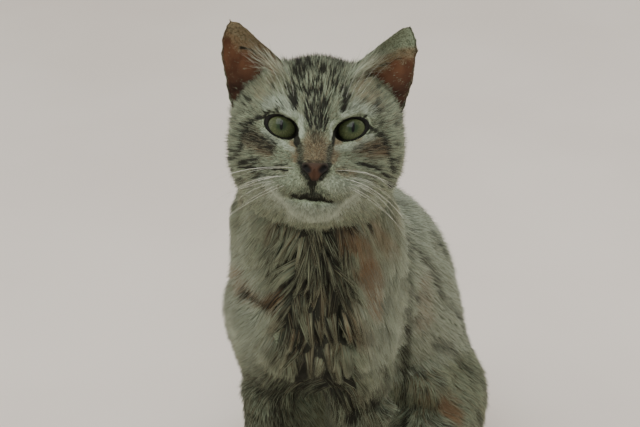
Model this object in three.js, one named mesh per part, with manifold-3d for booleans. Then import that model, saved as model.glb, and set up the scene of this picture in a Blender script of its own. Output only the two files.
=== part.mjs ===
// A house cat sitting with its forepaws together, head turned up to face a standing viewer.
// Millimetres, +Z up. The chest faces -Y, the cat's left is +X, and the floor is Z = 0.
// All sizes are of the outside of the coat.
import * as THREE from "three";
import { mergeVertices } from "three/addons/utils/BufferGeometryUtils.js";
import Module from "manifold-3d";

const wasm = await Module();
wasm.setup();

// ---- Driving dimensions ----
const EYE_LEVEL = 345; // eyes above the floor
const EYES_AT = [20, -86, EYE_LEVEL]; // midpoint between the eyes
const EYE_SPACING = 40.5; // from pupil to pupil
const EYE_RADIUS = 11;
const HEAD_YAW = 23; // degrees towards the cat's left
const HEAD_PITCH = 25; // degrees up
const HEAD_ROLL = 2; // degrees, left ear down
const ELBOW_LINE = 138; // height at which trunk and foreleg part
const WRIST_LINE = 32; // height at which foreleg and paw part
const GAP = 0.35; // clearance of every cut between two pieces

const degrees = THREE.MathUtils.degToRad;
const point = (x, y, z) => new THREE.Vector3(x, y, z);
const SIDES = { right: -1, left: 1 };
const both = (make) => [make(SIDES.right), make(SIDES.left)];
const UP = [0, 0, 1];
const DOWN = [0, 0, -1];
const opposite = (normal) => normal.map((n) => -n);

// ---- The flesh as blended lumps and tapered limbs ----
// Each form is a function that gives how far a point lies outside it, negative inside.
function lump([cx, cy, cz], [rx, ry, rz], pitch = 0) {
  const cosine = Math.cos(degrees(pitch));
  const sine = Math.sin(degrees(pitch));
  return (x, y, z) => {
    const dx = x - cx;
    const dy = (y - cy) * cosine + (z - cz) * sine;
    const dz = (z - cz) * cosine - (y - cy) * sine;
    const k0 = Math.hypot(dx / rx, dy / ry, dz / rz);
    const k1 = Math.hypot(dx / rx ** 2, dy / ry ** 2, dz / rz ** 2);
    return k1 < 1e-6 ? -Math.min(rx, ry, rz) : (k0 * (k0 - 1)) / k1;
  };
}

function limb(a, b, ra, rb) {
  const axis = [b[0] - a[0], b[1] - a[1], b[2] - a[2]];
  const length2 = axis[0] ** 2 + axis[1] ** 2 + axis[2] ** 2;
  return (x, y, z) => {
    const d = [x - a[0], y - a[1], z - a[2]];
    const along = (d[0] * axis[0] + d[1] * axis[1] + d[2] * axis[2]) / length2;
    const t = Math.min(1, Math.max(0, along));
    const away = Math.hypot(d[0] - t * axis[0], d[1] - t * axis[1], d[2] - t * axis[2]);
    return away - (ra + (rb - ra) * t);
  };
}

function blended(softness, forms) {
  return (x, y, z) => {
    let near = forms[0](x, y, z);
    for (let i = 1; i < forms.length; i++) {
      const next = forms[i](x, y, z);
      const overlap = Math.max(softness - Math.abs(near - next), 0) / softness;
      near = Math.min(near, next) - (overlap * overlap * softness) / 4;
    }
    return near;
  };
}

const grown = (field, by = GAP) => (x, y, z) => field(x, y, z) - by;

// Trunk.
const neckForm = limb([0, -34, 240], [6, -56, 300], 47, 41);
const trunkForms = [
  lump([0.5, -38, 194], [51, 45, 56]), // chest
  lump([1.5, 7, 219], [53, 54, 48]), // shoulder blades
  lump([1, 45, 184], [60, 58, 66], 35), // ribs
  lump([1, 74, 130], [62, 57, 76], 24), // belly and loin
  lump([0, 98, 64], [59, 54, 66]), // rump
  lump([1, -46, 258], [54, 43, 42]), // ruff
  neckForm,
];

// Forelegs, from the joints of the left one.
const mirrored = (joint, side) => [side * joint[0], joint[1], joint[2]];
const SHOULDER = [29, -62, 206];
const ELBOW = [34, -38, 146];
const WRIST = [25, -64, 38];
const FOREPAW = [24, -82, 11];
const FOREPAW_TURN = 6; // degrees outwards
const ELBOW_RADIUS = 21;
const WRIST_RADIUS = 12.5;
const upperArm = (side) => limb(mirrored(SHOULDER, side), mirrored(ELBOW, side), 23, ELBOW_RADIUS);
const forelegField = (side) =>
  blended(12, [
    upperArm(side),
    limb(mirrored(ELBOW, side), mirrored(WRIST, side), ELBOW_RADIUS, WRIST_RADIUS),
    limb(mirrored(WRIST, side), mirrored(FOREPAW, side), WRIST_RADIUS, 12),
  ]);

// A paw: a pad with four toes fanned out ahead of it.
const TOES = [-1.5, -0.5, 0.5, 1.5];
const TOE_SPACING = 6.6;
const OUTER_TOE_SETBACK = 2.6; // for each toe's spacing off the middle
function pawField([x, y, z], heading, length) {
  const ahead = point(Math.sin(degrees(heading)), -Math.cos(degrees(heading)), 0);
  const across = point(-ahead.y, ahead.x, 0);
  const at = (sideways, forward, up) =>
    point(x, y, z + up).addScaledVector(across, sideways).addScaledVector(ahead, forward).toArray();
  const toes = TOES.map((place) => {
    const sideways = place * TOE_SPACING;
    const reach = length - Math.abs(place) * OUTER_TOE_SETBACK;
    return limb(at(sideways * 0.85, 4, 1), at(sideways, reach, -2), 7.6, 6.4);
  });
  return blended(2.5, [lump([x, y, z], [14.5, 16, 12]), ...toes]);
}

// Hind legs: a folded thigh against the flank and the whole foot on the floor.
const HIP = [41, 80, 62];
const THIGH = [40, 74, 76];
const KNEE = [53, 24, 68];
const HOCK = [49, 100, 30];
const HEEL = [50, 112, 14];
const HINDPAW = [59, 4, 11];
const HINDPAW_TURN = 8; // degrees outwards
const hipForm = (side) => lump(mirrored(HIP, side), [37, 54, 52], -14);
const shankForms = (side) => [
  limb(mirrored(THIGH, side), mirrored(KNEE, side), 33, 23),
  limb(mirrored(KNEE, side), mirrored(HOCK, side), 20, 15),
];
const hindFootField = (side) =>
  blended(6, [
    limb(mirrored(HEEL, side), mirrored(HINDPAW, side), 14.5, 12),
    pawField(mirrored(HINDPAW, side), side * HINDPAW_TURN, 16),
  ]);

// Head, in its own frame: origin midway between the eyes, -Y out of the face.
const headForms = blended(7, [
  blended(12, [
    lump([0, 34, 7.5], [43, 44, 34]), // cranium
    lump([0, 22, 13], [30, 26, 25]), // forehead
    ...both((s) => lump([30 * s, 30, -10], [22, 26, 35])), // cheeks
    limb([0, 14, -14], [0, -6, -27], 26, 15), // muzzle
    ...both((s) => lump([20 * s, 8, -27], [17, 16, 14])), // sides of the muzzle
    ...both((s) => limb([0, 0, -38], [17 * s, 30, -34], 12, 16)), // jaw
  ]),
  limb([0, 4, 4], [0, -15, -19], 9.5, 7.5), // bridge of the nose
  ...both((s) => lump([19 * s, 9, 11], [15, 11, 8])), // brows
  ...both((s) => lump([20 * s, 7, -13], [14, 10, 9])), // cheekbones
  ...both((s) => lump([12 * s, -10, -32], [13, 12, 10])), // whisker pads
  lump([0, -19, -24], [7, 6.5, 6]), // tip of the nose
  lump([0, -8, -43], [13, 11, 9]), // chin
]);
const headTurn = new THREE.Quaternion().setFromEuler(
  new THREE.Euler(-degrees(HEAD_PITCH), degrees(HEAD_ROLL), degrees(HEAD_YAW), "ZXY"),
);
const headPlace = new THREE.Matrix4().compose(point(...EYES_AT), headTurn, point(1, 1, 1));
const headPlaceBack = headPlace.clone().invert();
const probe = point(0, 0, 0);
const headField = (x, y, z) => {
  probe.set(x, y, z).applyMatrix4(headPlaceBack);
  return headForms(probe.x, probe.y, probe.z);
};
const inHead = (x, y, z) => point(x, y, z).applyMatrix4(headPlace);

// ---- Skinning a field ----
// A sphere whose points are moved: place(around, along) gives each one's new position.
function ballFrom(place, sides, rings) {
  const ball = new THREE.SphereGeometry(1, sides, rings);
  const position = ball.getAttribute("position");
  const vertex = point(0, 0, 0);
  for (let i = 0; i < position.count; i++) {
    vertex.fromBufferAttribute(position, i);
    const along = Math.acos(THREE.MathUtils.clamp(vertex.y, -1, 1)) / Math.PI;
    const around = Math.atan2(vertex.z, vertex.x);
    const moved = place(around, along);
    position.setXYZ(i, moved.x, moved.y, moved.z);
  }
  return solid(ball);
}

// The distance along a ray at which a field's surface is crossed.
function crossing(field, from, heading) {
  const at = (r) => field(from.x + heading.x * r, from.y + heading.y * r, from.z + heading.z * r);
  let inside = 0;
  let outside = 0;
  for (let depth = at(0); depth < 0; depth = at(outside)) {
    inside = outside;
    outside += Math.max(0.5, -0.8 * depth);
  }
  for (let i = 0; i < 12; i++) {
    const middle = (inside + outside) / 2;
    if (at(middle) < 0) inside = middle;
    else outside = middle;
  }
  return outside;
}

// Rings of rays leave a spine square to it, and its two ends are closed by caps.
function wrap(field, spinePoints, { sides, rings, startCap = 0.25, endCap = 0.25 }) {
  const spine = new THREE.CatmullRomCurve3(spinePoints.map((p) => point(...p)));
  const place = (around, along) => {
    const t = THREE.MathUtils.clamp((along - startCap) / (1 - startCap - endCap), 0, 1);
    let tilt = Math.PI / 2;
    if (along < startCap) tilt *= along / startCap;
    if (along > 1 - endCap) tilt *= 1 + (along - 1 + endCap) / endCap;
    const tangent = spine.getTangent(t);
    const across = point(1, 0, 0).addScaledVector(tangent, -tangent.x).normalize();
    const third = point(0, 0, 0).crossVectors(tangent, across);
    const heading = point(0, 0, 0)
      .addScaledVector(tangent, -Math.cos(tilt))
      .addScaledVector(across, Math.cos(around) * Math.sin(tilt))
      .addScaledVector(third, Math.sin(around) * Math.sin(tilt));
    const from = spine.getPoint(t);
    return from.clone().addScaledVector(heading, crossing(field, from, heading));
  };
  return ballFrom(place, sides, rings);
}

// ---- Cutting ----
function solid(geometry) {
  const closed = geometry.clone();
  closed.deleteAttribute("normal");
  closed.deleteAttribute("uv");
  const merged = mergeVertices(closed, 1e-3);
  return new wasm.Manifold(
    new wasm.Mesh({
      numProp: 3,
      vertProperties: new Float32Array(merged.attributes.position.array),
      triVerts: new Uint32Array(merged.index.array),
    }),
  );
}

const BIG = 700;
// Everything behind a plane: the side that its normal points away from.
function behind(on, normal, lowered = 0) {
  const n = point(...normal).normalize();
  const box = new THREE.BoxGeometry(BIG, BIG, BIG);
  box.applyQuaternion(new THREE.Quaternion().setFromUnitVectors(point(0, 0, 1), n));
  const centre = point(...on).addScaledVector(n, -BIG / 2 - lowered);
  return solid(box.translate(centre.x, centre.y, centre.z));
}
const FLOOR_SIDE = behind([0, 0, 0], DOWN);

// An outline in the side view (Y, Z), drawn out from x0 to x1.
function sideways(outline, x0, x1) {
  const depth = x1 - x0;
  const prism = new THREE.ExtrudeGeometry(outline, { depth, bevelEnabled: false, curveSegments: 14 });
  const axes = new THREE.Matrix4().makeBasis(point(0, 1, 0), point(0, 0, 1), point(1, 0, 0));
  return solid(prism.applyMatrix4(axes).translate(x0, 0, 0));
}
// An outline in the head's face view (X, Z), drawn out from y0 back to y1.
function faceways(outline, y0, y1) {
  const depth = y1 - y0;
  const prism = new THREE.ExtrudeGeometry(outline, { depth, bevelEnabled: false, curveSegments: 10 });
  const axes = new THREE.Matrix4().makeBasis(point(1, 0, 0), point(0, 0, 1), point(0, -1, 0));
  return solid(prism.applyMatrix4(axes).translate(0, y1, 0).applyMatrix4(headPlace));
}

// ---- Export ----
const materials = {
  coat: new THREE.MeshStandardMaterial({ color: "#7d7763", roughness: 0.95 }),
  ear: new THREE.MeshStandardMaterial({ color: "#7a6a5a", roughness: 0.9 }),
  eye: new THREE.MeshStandardMaterial({ color: "#6d7a4e", roughness: 0.1 }),
  nose: new THREE.MeshStandardMaterial({ color: "#7a4a36", roughness: 0.6 }),
};
const cat = new THREE.Group();
// Names a finished piece, without the crumbs that a cut leaves beside it.
function add(name, piece, material = materials.coat) {
  const pieces = piece.decompose().sort((a, b) => b.volume() - a.volume());
  const mesh = pieces[0].getMesh();
  const geometry = new THREE.BufferGeometry()
    .setAttribute("position", new THREE.BufferAttribute(mesh.vertProperties, 3))
    .setIndex(new THREE.BufferAttribute(mesh.triVerts, 1));
  geometry.computeVertexNormals();
  const made = new THREE.Mesh(geometry, material);
  made.name = name;
  cat.add(made);
}

// ---- Head ----
const NAPE = inHead(0, 30, -45).toArray();
const NAPE_NORMAL = point(0, 0.75, -0.66).applyQuaternion(headTurn).toArray();
const NECK_BASE = [0, -30, 262];
const NECK_BASE_NORMAL = [0, 0.35, -0.94];

const headAndNeck = blended(14, [headField, neckForm]);
const HEAD_SPINE = [inHead(0, 10, -14), inHead(0, 24, -6), inHead(0, 36, 0)].map((p) => p.toArray());
const headWrap = { sides: 32, rings: 24, startCap: 0.56, endCap: 0.34 };
const wholeHead = wrap(headAndNeck, HEAD_SPINE, headWrap);
const headClearance = wrap(grown(headAndNeck), HEAD_SPINE, headWrap);

const IN_FRONT = -40; // ahead of the whole face, in the head's own frame

// Eyes: balls in sockets, seen through oval openings whose outer ends are higher.
const EYE_SETBACK = 8.5; // from the face plane to the middle of the ball
const EYE_OPENING = { halfWidth: 10.6, halfHeight: 6.3, slant: 22 };
function eyeBall(side, radius) {
  const centre = inHead(side * (EYE_SPACING / 2), EYE_SETBACK, 0);
  const ball = new THREE.IcosahedronGeometry(radius, 2);
  return solid(ball.translate(centre.x, centre.y, centre.z));
}
function eyeOpening(side) {
  const { halfWidth, halfHeight, slant } = EYE_OPENING;
  const oval = new THREE.Shape();
  const turn = degrees(slant) * side;
  oval.absellipse(side * (EYE_SPACING / 2), 0, halfWidth, halfHeight, 0, 2 * Math.PI, false, turn);
  return faceways(oval, IN_FRONT, EYE_SETBACK);
}

// Nose leather: a shield cut out of the tip of the muzzle.
const NOSE = { halfTop: 7.6, halfFoot: 1.6, top: -20.3, waist: -24.5, foot: -30.3, back: -20 };
function noseOutline(extra) {
  const corner = NOSE.halfTop - 1 + extra;
  const top = NOSE.top + extra;
  const halfFoot = NOSE.halfFoot + extra;
  const foot = NOSE.foot - extra;
  const outline = new THREE.Shape();
  outline.moveTo(-corner, top);
  outline.lineTo(corner, top);
  outline.quadraticCurveTo(corner + 1.6, -22, corner, NOSE.waist);
  outline.quadraticCurveTo(halfFoot + 2, -26, halfFoot, foot);
  outline.lineTo(-halfFoot, foot);
  outline.quadraticCurveTo(-halfFoot - 2, -26, -corner, NOSE.waist);
  outline.quadraticCurveTo(-corner - 1.6, -22, -corner, top);
  return outline;
}
const noseCut = faceways(noseOutline(0), IN_FRONT, NOSE.back - GAP);
const noseHole = faceways(noseOutline(GAP), IN_FRONT, NOSE.back);

let head = wholeHead.intersect(behind(NAPE, NAPE_NORMAL, GAP / 2)).subtract(noseHole);
for (const [name, side] of Object.entries(SIDES)) {
  head = head.subtract(eyeBall(side, EYE_RADIUS + GAP)).subtract(eyeOpening(side));
  add(`eye_${name}`, eyeBall(side, EYE_RADIUS), materials.eye);
}
add("head", head);
add("nose", wholeHead.intersect(noseCut), materials.nose);

// Ears: thin cupped shells between an inner and an outer edge that meet at the tip.
const EAR_CUP = 15; // depth of the hollow behind the line between the edges
const EAR_TIP_HALF_THICKNESS = 0.9;
const EAR_ROOT_HALF_THICKNESS = 2.4;
function ear(side) {
  const edge = (...points) => new THREE.CatmullRomCurve3(points.map(([x, y, z]) => point(x * side, y, z)));
  const outer = edge([46, 38, -2], [52.5, 32, 14], [57, 26, 34], [58, 21, 50], [55, 19, 61]);
  const inner = edge([12, 26, 28], [20, 22, 38], [32, 19, 48], [44, 18, 58], [51, 19, 64]);
  const back = point(-0.35 * side, 0.9, 0.15).normalize();
  const place = (around, along) => {
    const height = THREE.MathUtils.clamp((along - 0.05) / 0.95, 0, 1);
    const closing = Math.sqrt(Math.min(1, along / 0.05, (1 - along) / 0.12));
    const across = 0.5 + 0.5 * Math.cos(around) * closing;
    const thickness = THREE.MathUtils.lerp(EAR_ROOT_HALF_THICKNESS, EAR_TIP_HALF_THICKNESS, height) * closing;
    const cup = EAR_CUP * Math.sin(Math.PI * Math.min(1, 0.35 + 0.65 * height));
    const bow = cup * (1 - (2 * across - 1) ** 2) + thickness * Math.sin(around) * side;
    return inner.getPoint(height).lerp(outer.getPoint(height), across).addScaledVector(back, bow);
  };
  return ballFrom(place, 16, 11).transform(headPlace.toArray());
}
for (const [name, side] of Object.entries(SIDES)) {
  add(`ear_${name}`, ear(side).subtract(headClearance), materials.ear);
}

// ---- Neck and trunk ----
const NECK_SPINE = [[0, -30, 225], [3, -44, 265], [7, -58, 300]];
const throat = blended(22, [...trunkForms, headField]);
const neck = wrap(throat, NECK_SPINE, { sides: 24, rings: 14 })
  .intersect(behind(NAPE, opposite(NAPE_NORMAL), GAP / 2))
  .intersect(behind(NECK_BASE, NECK_BASE_NORMAL, GAP / 2));
add("neck", neck);

const torso = blended(22, [...trunkForms, ...both(upperArm), ...both(hipForm)]);
const torsoAndThigh = (side) => blended(22, [...trunkForms, hipForm(side), ...shankForms(side)]);
const TRUNK_SPINE = [[0, -40, 250], [0, -16, 208], [0, 40, 156], [0, 94, 78]];
const trunkWrap = { sides: 24, rings: 24, startCap: 0.22, endCap: 0.3 };
const trunkClearance = wrap(grown(torso), TRUNK_SPINE, trunkWrap);
let trunk = wrap(torso, TRUNK_SPINE, trunkWrap)
  .intersect(behind(NECK_BASE, opposite(NECK_BASE_NORMAL), GAP / 2))
  .intersect(FLOOR_SIDE);

// ---- Forelegs ----
for (const [name, side] of Object.entries(SIDES)) {
  const legSpine = [mirrored([34, -42, 150], side), mirrored([25, -63, 40], side)];
  const legWrap = { sides: 12, rings: 12, startCap: 0.2, endCap: 0.2 };
  const leg = wrap(forelegField(side), legSpine, legWrap);
  const legClearance = wrap(grown(forelegField(side)), legSpine, legWrap);
  add(
    `foreleg_${name}`,
    leg
      .intersect(behind([0, 0, ELBOW_LINE], UP, GAP / 2))
      .intersect(behind([0, 0, WRIST_LINE], opposite(UP), GAP / 2)),
  );
  trunk = trunk.subtract(legClearance.intersect(behind([0, 0, ELBOW_LINE], UP, -GAP / 2)));
  const paw = pawField(mirrored(FOREPAW, side), side * FOREPAW_TURN, 17);
  const pawAndWrist = blended(6, [paw, forelegField(side)]);
  const pawSpine = [mirrored([24, -72, 14], side), mirrored([24, -88, 11], side)];
  add(
    `forepaw_${name}`,
    wrap(pawAndWrist, pawSpine, { sides: 16, rings: 12, startCap: 0.45, endCap: 0.45 })
      .intersect(behind([0, 0, WRIST_LINE], UP, GAP / 2))
      .intersect(FLOOR_SIDE),
  );
}

// ---- Hind legs ----
// The thigh is parted from the trunk by an oval in the side view, from THIGH_INNER outwards.
const THIGH_OVAL = { y: 56, z: 66, halfLength: 70, halfHeight: 58, slant: -10 };
const THIGH_INNER = 26;
const PAST_THE_SIDE = 200;
function thighCutter(side, extra) {
  const { y, z, halfLength, halfHeight, slant } = THIGH_OVAL;
  const oval = new THREE.Shape();
  oval.absellipse(y, z, halfLength + extra, halfHeight + extra, 0, 2 * Math.PI, false, degrees(slant));
  const inner = side * (THIGH_INNER - extra);
  const outer = side * PAST_THE_SIDE;
  return sideways(oval, Math.min(inner, outer), Math.max(inner, outer));
}
for (const [name, side] of Object.entries(SIDES)) {
  const footSpine = [mirrored(HEEL, side), mirrored([59, 50, 13], side), mirrored([59, 0, 11], side)];
  const footWrap = { sides: 12, rings: 16, startCap: 0.2, endCap: 0.35 };
  const foot = wrap(hindFootField(side), footSpine, footWrap).intersect(FLOOR_SIDE);
  const footClearance = wrap(grown(hindFootField(side)), footSpine, footWrap);
  const thighSpine = [[48, 94, 72], [50, 64, 78], [54, 30, 66]].map((joint) => mirrored(joint, side));
  const thigh = wrap(torsoAndThigh(side), thighSpine, { sides: 16, rings: 13, startCap: 0.35, endCap: 0.35 })
    .intersect(thighCutter(side, 0))
    .intersect(FLOOR_SIDE)
    .subtract(footClearance);
  trunk = trunk.subtract(thighCutter(side, GAP)).subtract(footClearance);
  add(`hind_leg_${name}`, thigh);
  add(`hind_foot_${name}`, foot);
}
add("trunk", trunk);

// ---- Tail, laid on the floor round the cat's right side ----
const TAIL = new THREE.CatmullRomCurve3(
  [
    [0, 128, 46],
    [-4, 158, 24],
    [-34, 176, 13.5],
    [-76, 152, 13],
    [-94, 100, 12],
    [-96, 44, 11],
    [-95, -8, 10],
    [-88, -48, 9.2],
  ].map((p) => point(...p)),
);
const [ROOT, FIRST_JOINT, SECOND_JOINT, TIP] = [0, 0.3, 0.62, 1];
const TAIL_ROOT_RADIUS = 14.5;
const TAIL_TIP_RADIUS = 10;
const tailRadius = (t) => THREE.MathUtils.lerp(TAIL_ROOT_RADIUS, TAIL_TIP_RADIUS, t ** 1.4);
function tailLength(from, to) {
  const ends = 0.08;
  const place = (around, along) => {
    const t = from + (to - from) * along;
    const closing = Math.min(1, along / ends, (1 - along) / ends);
    const radius = tailRadius(t) * Math.sqrt(closing * (2 - closing));
    const tangent = TAIL.getTangentAt(t);
    const across = point(0, 0, 1).addScaledVector(tangent, -tangent.z).normalize();
    const third = point(0, 0, 0).crossVectors(tangent, across);
    return TAIL.getPointAt(t)
      .addScaledVector(across, Math.cos(around) * radius)
      .addScaledVector(third, Math.sin(around) * radius);
  };
  return ballFrom(place, 12, 10).intersect(FLOOR_SIDE);
}
const tailPlane = (t, heading) =>
  behind(TAIL.getPointAt(t).toArray(), TAIL.getTangentAt(t).multiplyScalar(heading).toArray(), GAP / 2);
const wholeTail = (from, to) => tailLength(Math.max(0, from - 0.05), Math.min(1, to + 0.05));
add(
  "tail_base",
  wholeTail(ROOT, FIRST_JOINT).intersect(tailPlane(FIRST_JOINT, 1)).subtract(trunkClearance),
);
add(
  "tail_middle",
  wholeTail(FIRST_JOINT, SECOND_JOINT)
    .intersect(tailPlane(FIRST_JOINT, -1))
    .intersect(tailPlane(SECOND_JOINT, 1)),
);
add("tail_tip", wholeTail(SECOND_JOINT, TIP).intersect(tailPlane(SECOND_JOINT, -1)));

// The origin is on the floor under the middle of the box round the whole cat.
const middle = new THREE.Box3().setFromObject(cat).getCenter(point(0, 0, 0));
cat.position.set(-middle.x, -middle.y, 0);
export default cat;
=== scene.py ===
"""A sitting young tabby cat at life size: skin, coat, eyes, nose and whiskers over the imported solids."""

import math
from contextlib import contextmanager
from functools import cache

import bmesh
import bpy
import numpy as np
from mathutils import Matrix, Vector
from mathutils.bvhtree import BVHTree
from mathutils.kdtree import KDTree


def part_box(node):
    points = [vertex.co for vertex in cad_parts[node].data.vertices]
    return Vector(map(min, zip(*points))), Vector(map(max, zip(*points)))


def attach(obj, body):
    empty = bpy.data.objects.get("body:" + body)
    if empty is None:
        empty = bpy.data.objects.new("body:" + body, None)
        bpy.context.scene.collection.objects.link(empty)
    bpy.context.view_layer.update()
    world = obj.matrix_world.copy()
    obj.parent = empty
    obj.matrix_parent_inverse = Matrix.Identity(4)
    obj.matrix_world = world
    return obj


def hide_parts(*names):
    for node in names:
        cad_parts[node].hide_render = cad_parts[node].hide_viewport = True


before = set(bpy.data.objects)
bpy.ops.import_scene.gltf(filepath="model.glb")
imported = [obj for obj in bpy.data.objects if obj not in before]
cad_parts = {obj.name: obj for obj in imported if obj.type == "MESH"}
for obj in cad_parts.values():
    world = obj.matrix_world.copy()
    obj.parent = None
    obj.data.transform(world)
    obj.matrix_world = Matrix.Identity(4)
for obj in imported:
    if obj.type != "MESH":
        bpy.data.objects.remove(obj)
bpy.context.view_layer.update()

MM = 0.001
UP = np.array([0.0, 0.0, 1.0])
SIGN = {"right": -1, "left": 1}  # the cat's own sides, along the row's first axis

# ---------------------------------------------------------------- the head's own frame
HEAD_YAW, HEAD_PITCH, HEAD_ROLL = 23.0, 25.0, 2.0  # degrees: to its left, nose up, left ear down
EYE_SET_BACK = 8.5  # mm from the face plane back to the middle of each eyeball


def middle_of(node):
    low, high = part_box(node)
    return (low + high) / 2


def head_axes():
    """Columns: across to the cat's left, back into the head, up through the crown."""
    yaw = Matrix.Rotation(math.radians(HEAD_YAW), 3, "Z")
    pitch = Matrix.Rotation(math.radians(-HEAD_PITCH), 3, "X")
    roll = Matrix.Rotation(math.radians(HEAD_ROLL), 3, "Y")
    return np.array(yaw @ pitch @ roll)


EYES = {side: np.array(middle_of(f"eye_{side}")) for side in SIGN}
AXES = head_axes()
FACE_MIDDLE = (EYES["right"] + EYES["left"]) / 2 - AXES[:, 1] * EYE_SET_BACK * MM


def to_head(points):
    """Row-frame metres to head-frame millimetres."""
    return (np.asarray(points) - FACE_MIDDLE) @ AXES / MM


def from_head(points):
    """Head-frame millimetres to row-frame metres."""
    return np.asarray(points) * MM @ AXES.T + FACE_MIDDLE


# ---------------------------------------------------------------- camera, floor and lights
IMAGE_WIDTH, FOCAL, SENSOR = 640, 90.0, 36.0
CAMERA_AZIMUTH, CAMERA_DIP, CAMERA_DISTANCE = 23.0, 26.0, 0.914
FACE_PIXELS_OFF_CENTRE = (-3.5, 85.5)  # right of and above the middle of the frame
CHEST_MIDDLE = (0, 0, 0.22)
WORLD_COLOUR, WORLD_STRENGTH = (0.86, 0.84, 0.80, 1), 0.8
FLOOR_HALF_WIDTH = 60.0


def placed(name, data, place=None):
    """A new object in the scene that holds a mesh, a camera or a light."""
    made = bpy.data.objects.new(name, data)
    if place:
        made.matrix_world = place
    bpy.context.scene.collection.objects.link(made)
    return made


def build_camera():
    azimuth, dip = math.radians(CAMERA_AZIMUTH), math.radians(CAMERA_DIP)
    forward = Vector((-math.sin(azimuth) * math.cos(dip), math.cos(azimuth) * math.cos(dip), -math.sin(dip)))
    right = Vector((math.cos(azimuth), math.sin(azimuth), 0))
    up = right.cross(forward)
    pixels_per_unit = IMAGE_WIDTH * FOCAL / SENSOR
    off_right, off_up = FACE_PIXELS_OFF_CENTRE
    ray = forward + right * (off_right / pixels_per_unit) + up * (off_up / pixels_per_unit)
    data = bpy.data.cameras.new("camera")
    data.lens = FOCAL
    data.sensor_width = SENSOR
    place = Matrix.Translation(Vector(FACE_MIDDLE) - ray * CAMERA_DISTANCE)
    turn = Matrix((right, up, -forward)).transposed().to_4x4()
    bpy.context.scene.camera = placed("camera", data, place @ turn)


def soft_light(name, place, size, power, colour=(1, 1, 1)):
    """A square light that looks at the chest."""
    data = bpy.data.lights.new(name, "AREA")
    data.size = size
    data.energy = power
    data.color = colour
    place = Vector(place)
    turn = (Vector(CHEST_MIDDLE) - place).to_track_quat("-Z", "Y").to_matrix().to_4x4()
    placed(name, data, Matrix.Translation(place) @ turn)


def build_studio():
    soft_light("sky_light", (0.05, -1.05, 2.0), 1.4, 29, (0.985, 1.0, 0.985))
    soft_light("window_light", (-1.5, -0.9, 0.9), 1.3, 6, (0.95, 0.98, 1.0))
    soft_light("back_light", (1.1, 1.1, 1.2), 1.2, 11)
    world = bpy.data.worlds.new("pale_room")
    world.use_nodes = True
    background = world.node_tree.nodes["Background"]
    wire(world.node_tree, background, {"Color": WORLD_COLOUR, "Strength": WORLD_STRENGTH})
    bpy.context.scene.world = world
    corners = [(x * FLOOR_HALF_WIDTH, y * FLOOR_HALF_WIDTH, 0) for x, y in ((-1, -1), (1, -1), (1, 1), (-1, 1))]
    floor = mesh_object("floor", corners, [(0, 1, 2, 3)], floor_paint())


# ---------------------------------------------------------------- small mesh tools
def mesh_object(name, points, faces, material=None):
    mesh = bpy.data.meshes.new(name)
    mesh.from_pydata([tuple(p) for p in points], [], [tuple(f) for f in faces])
    mesh.update()
    mesh.shade_smooth()
    if material:
        mesh.materials.append(material)
    return placed(name, mesh)


def tree_of(points, faces):
    """A search tree over a surface."""
    return BVHTree.FromPolygons([tuple(p) for p in points], [tuple(f) for f in faces])


def rows_of(items, name, columns, kind=np.int32):
    """One value of every item of a mesh, a row for each."""
    values = np.empty(len(items) * columns, kind)
    items.foreach_get(name, values)
    return values.reshape(-1, columns)


def points_of(mesh):
    return rows_of(mesh.vertices, "co", 3, np.float32).astype(float)


def triangles_of(mesh):
    mesh.calc_loop_triangles()
    return rows_of(mesh.loop_triangles, "vertices", 3)


def move_points(mesh, points):
    mesh.vertices.foreach_set("co", points.ravel())
    mesh.update()


def add_values(mesh, name, values):
    """Keeps a colour (four columns) or a vector (three) at each point of a mesh."""
    kind, field = ("FLOAT_COLOR", "color") if values.shape[1] == 4 else ("FLOAT_VECTOR", "vector")
    layer = mesh.attributes.new(name, kind, "POINT")
    layer.data.foreach_set(field, np.ascontiguousarray(values, np.float32).ravel())


@contextmanager
def edited(mesh):
    """The mesh in an editable form, which goes back into it at the end."""
    work = bmesh.new()
    work.from_mesh(mesh)
    yield work
    work.to_mesh(mesh)
    work.free()


def settle_modifiers(piece):
    """Gives a piece the mesh that its modifiers make of it."""
    graph = bpy.context.evaluated_depsgraph_get()
    piece.data = bpy.data.meshes.new_from_object(piece.evaluated_get(graph))
    piece.modifiers.clear()


def ring_faces(rings, around):
    """Four-sided faces between rings of points that follow each other."""
    return [(row * around + k, row * around + after, (row + 1) * around + after, (row + 1) * around + k)
            for row in range(rings - 1) for k in range(around) for after in [(k + 1) % around]]


def unit(vectors):
    length = np.linalg.norm(vectors, axis=-1, keepdims=True)
    return vectors / np.maximum(length, 1e-9)


def smoothstep(value, low, high):
    share = np.clip((value - low) / (high - low), 0, 1)
    return share * share * (3 - 2 * share)


def highest(*shares):
    return np.maximum.reduce(shares)


class Web:
    """Which points of a mesh are joined by an edge, for averaging values over neighbours."""

    def __init__(self, mesh):
        ends = rows_of(mesh.edges, "vertices", 2)
        self.here = np.concatenate([ends[:, 0], ends[:, 1]])
        self.there = np.concatenate([ends[:, 1], ends[:, 0]])
        self.count = len(mesh.vertices)
        self.number = np.maximum(np.bincount(self.here, minlength=self.count), 1)

    def mean(self, values):
        columns = values.reshape(self.count, -1)
        sums = [np.bincount(self.here, c[self.there], self.count) / self.number for c in columns.T]
        return np.stack(sums, 1).reshape(values.shape)

    def soften(self, values, passes):
        for _ in range(passes):
            values = 0.5 * values + 0.5 * self.mean(values)
        return values

    def fair(self, points, passes):
        """Smooths a surface without shrinking it."""
        for _ in range(passes):
            for step in (0.5, -0.52):
                points = points + step * (self.mean(points) - points)
        return points


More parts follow.
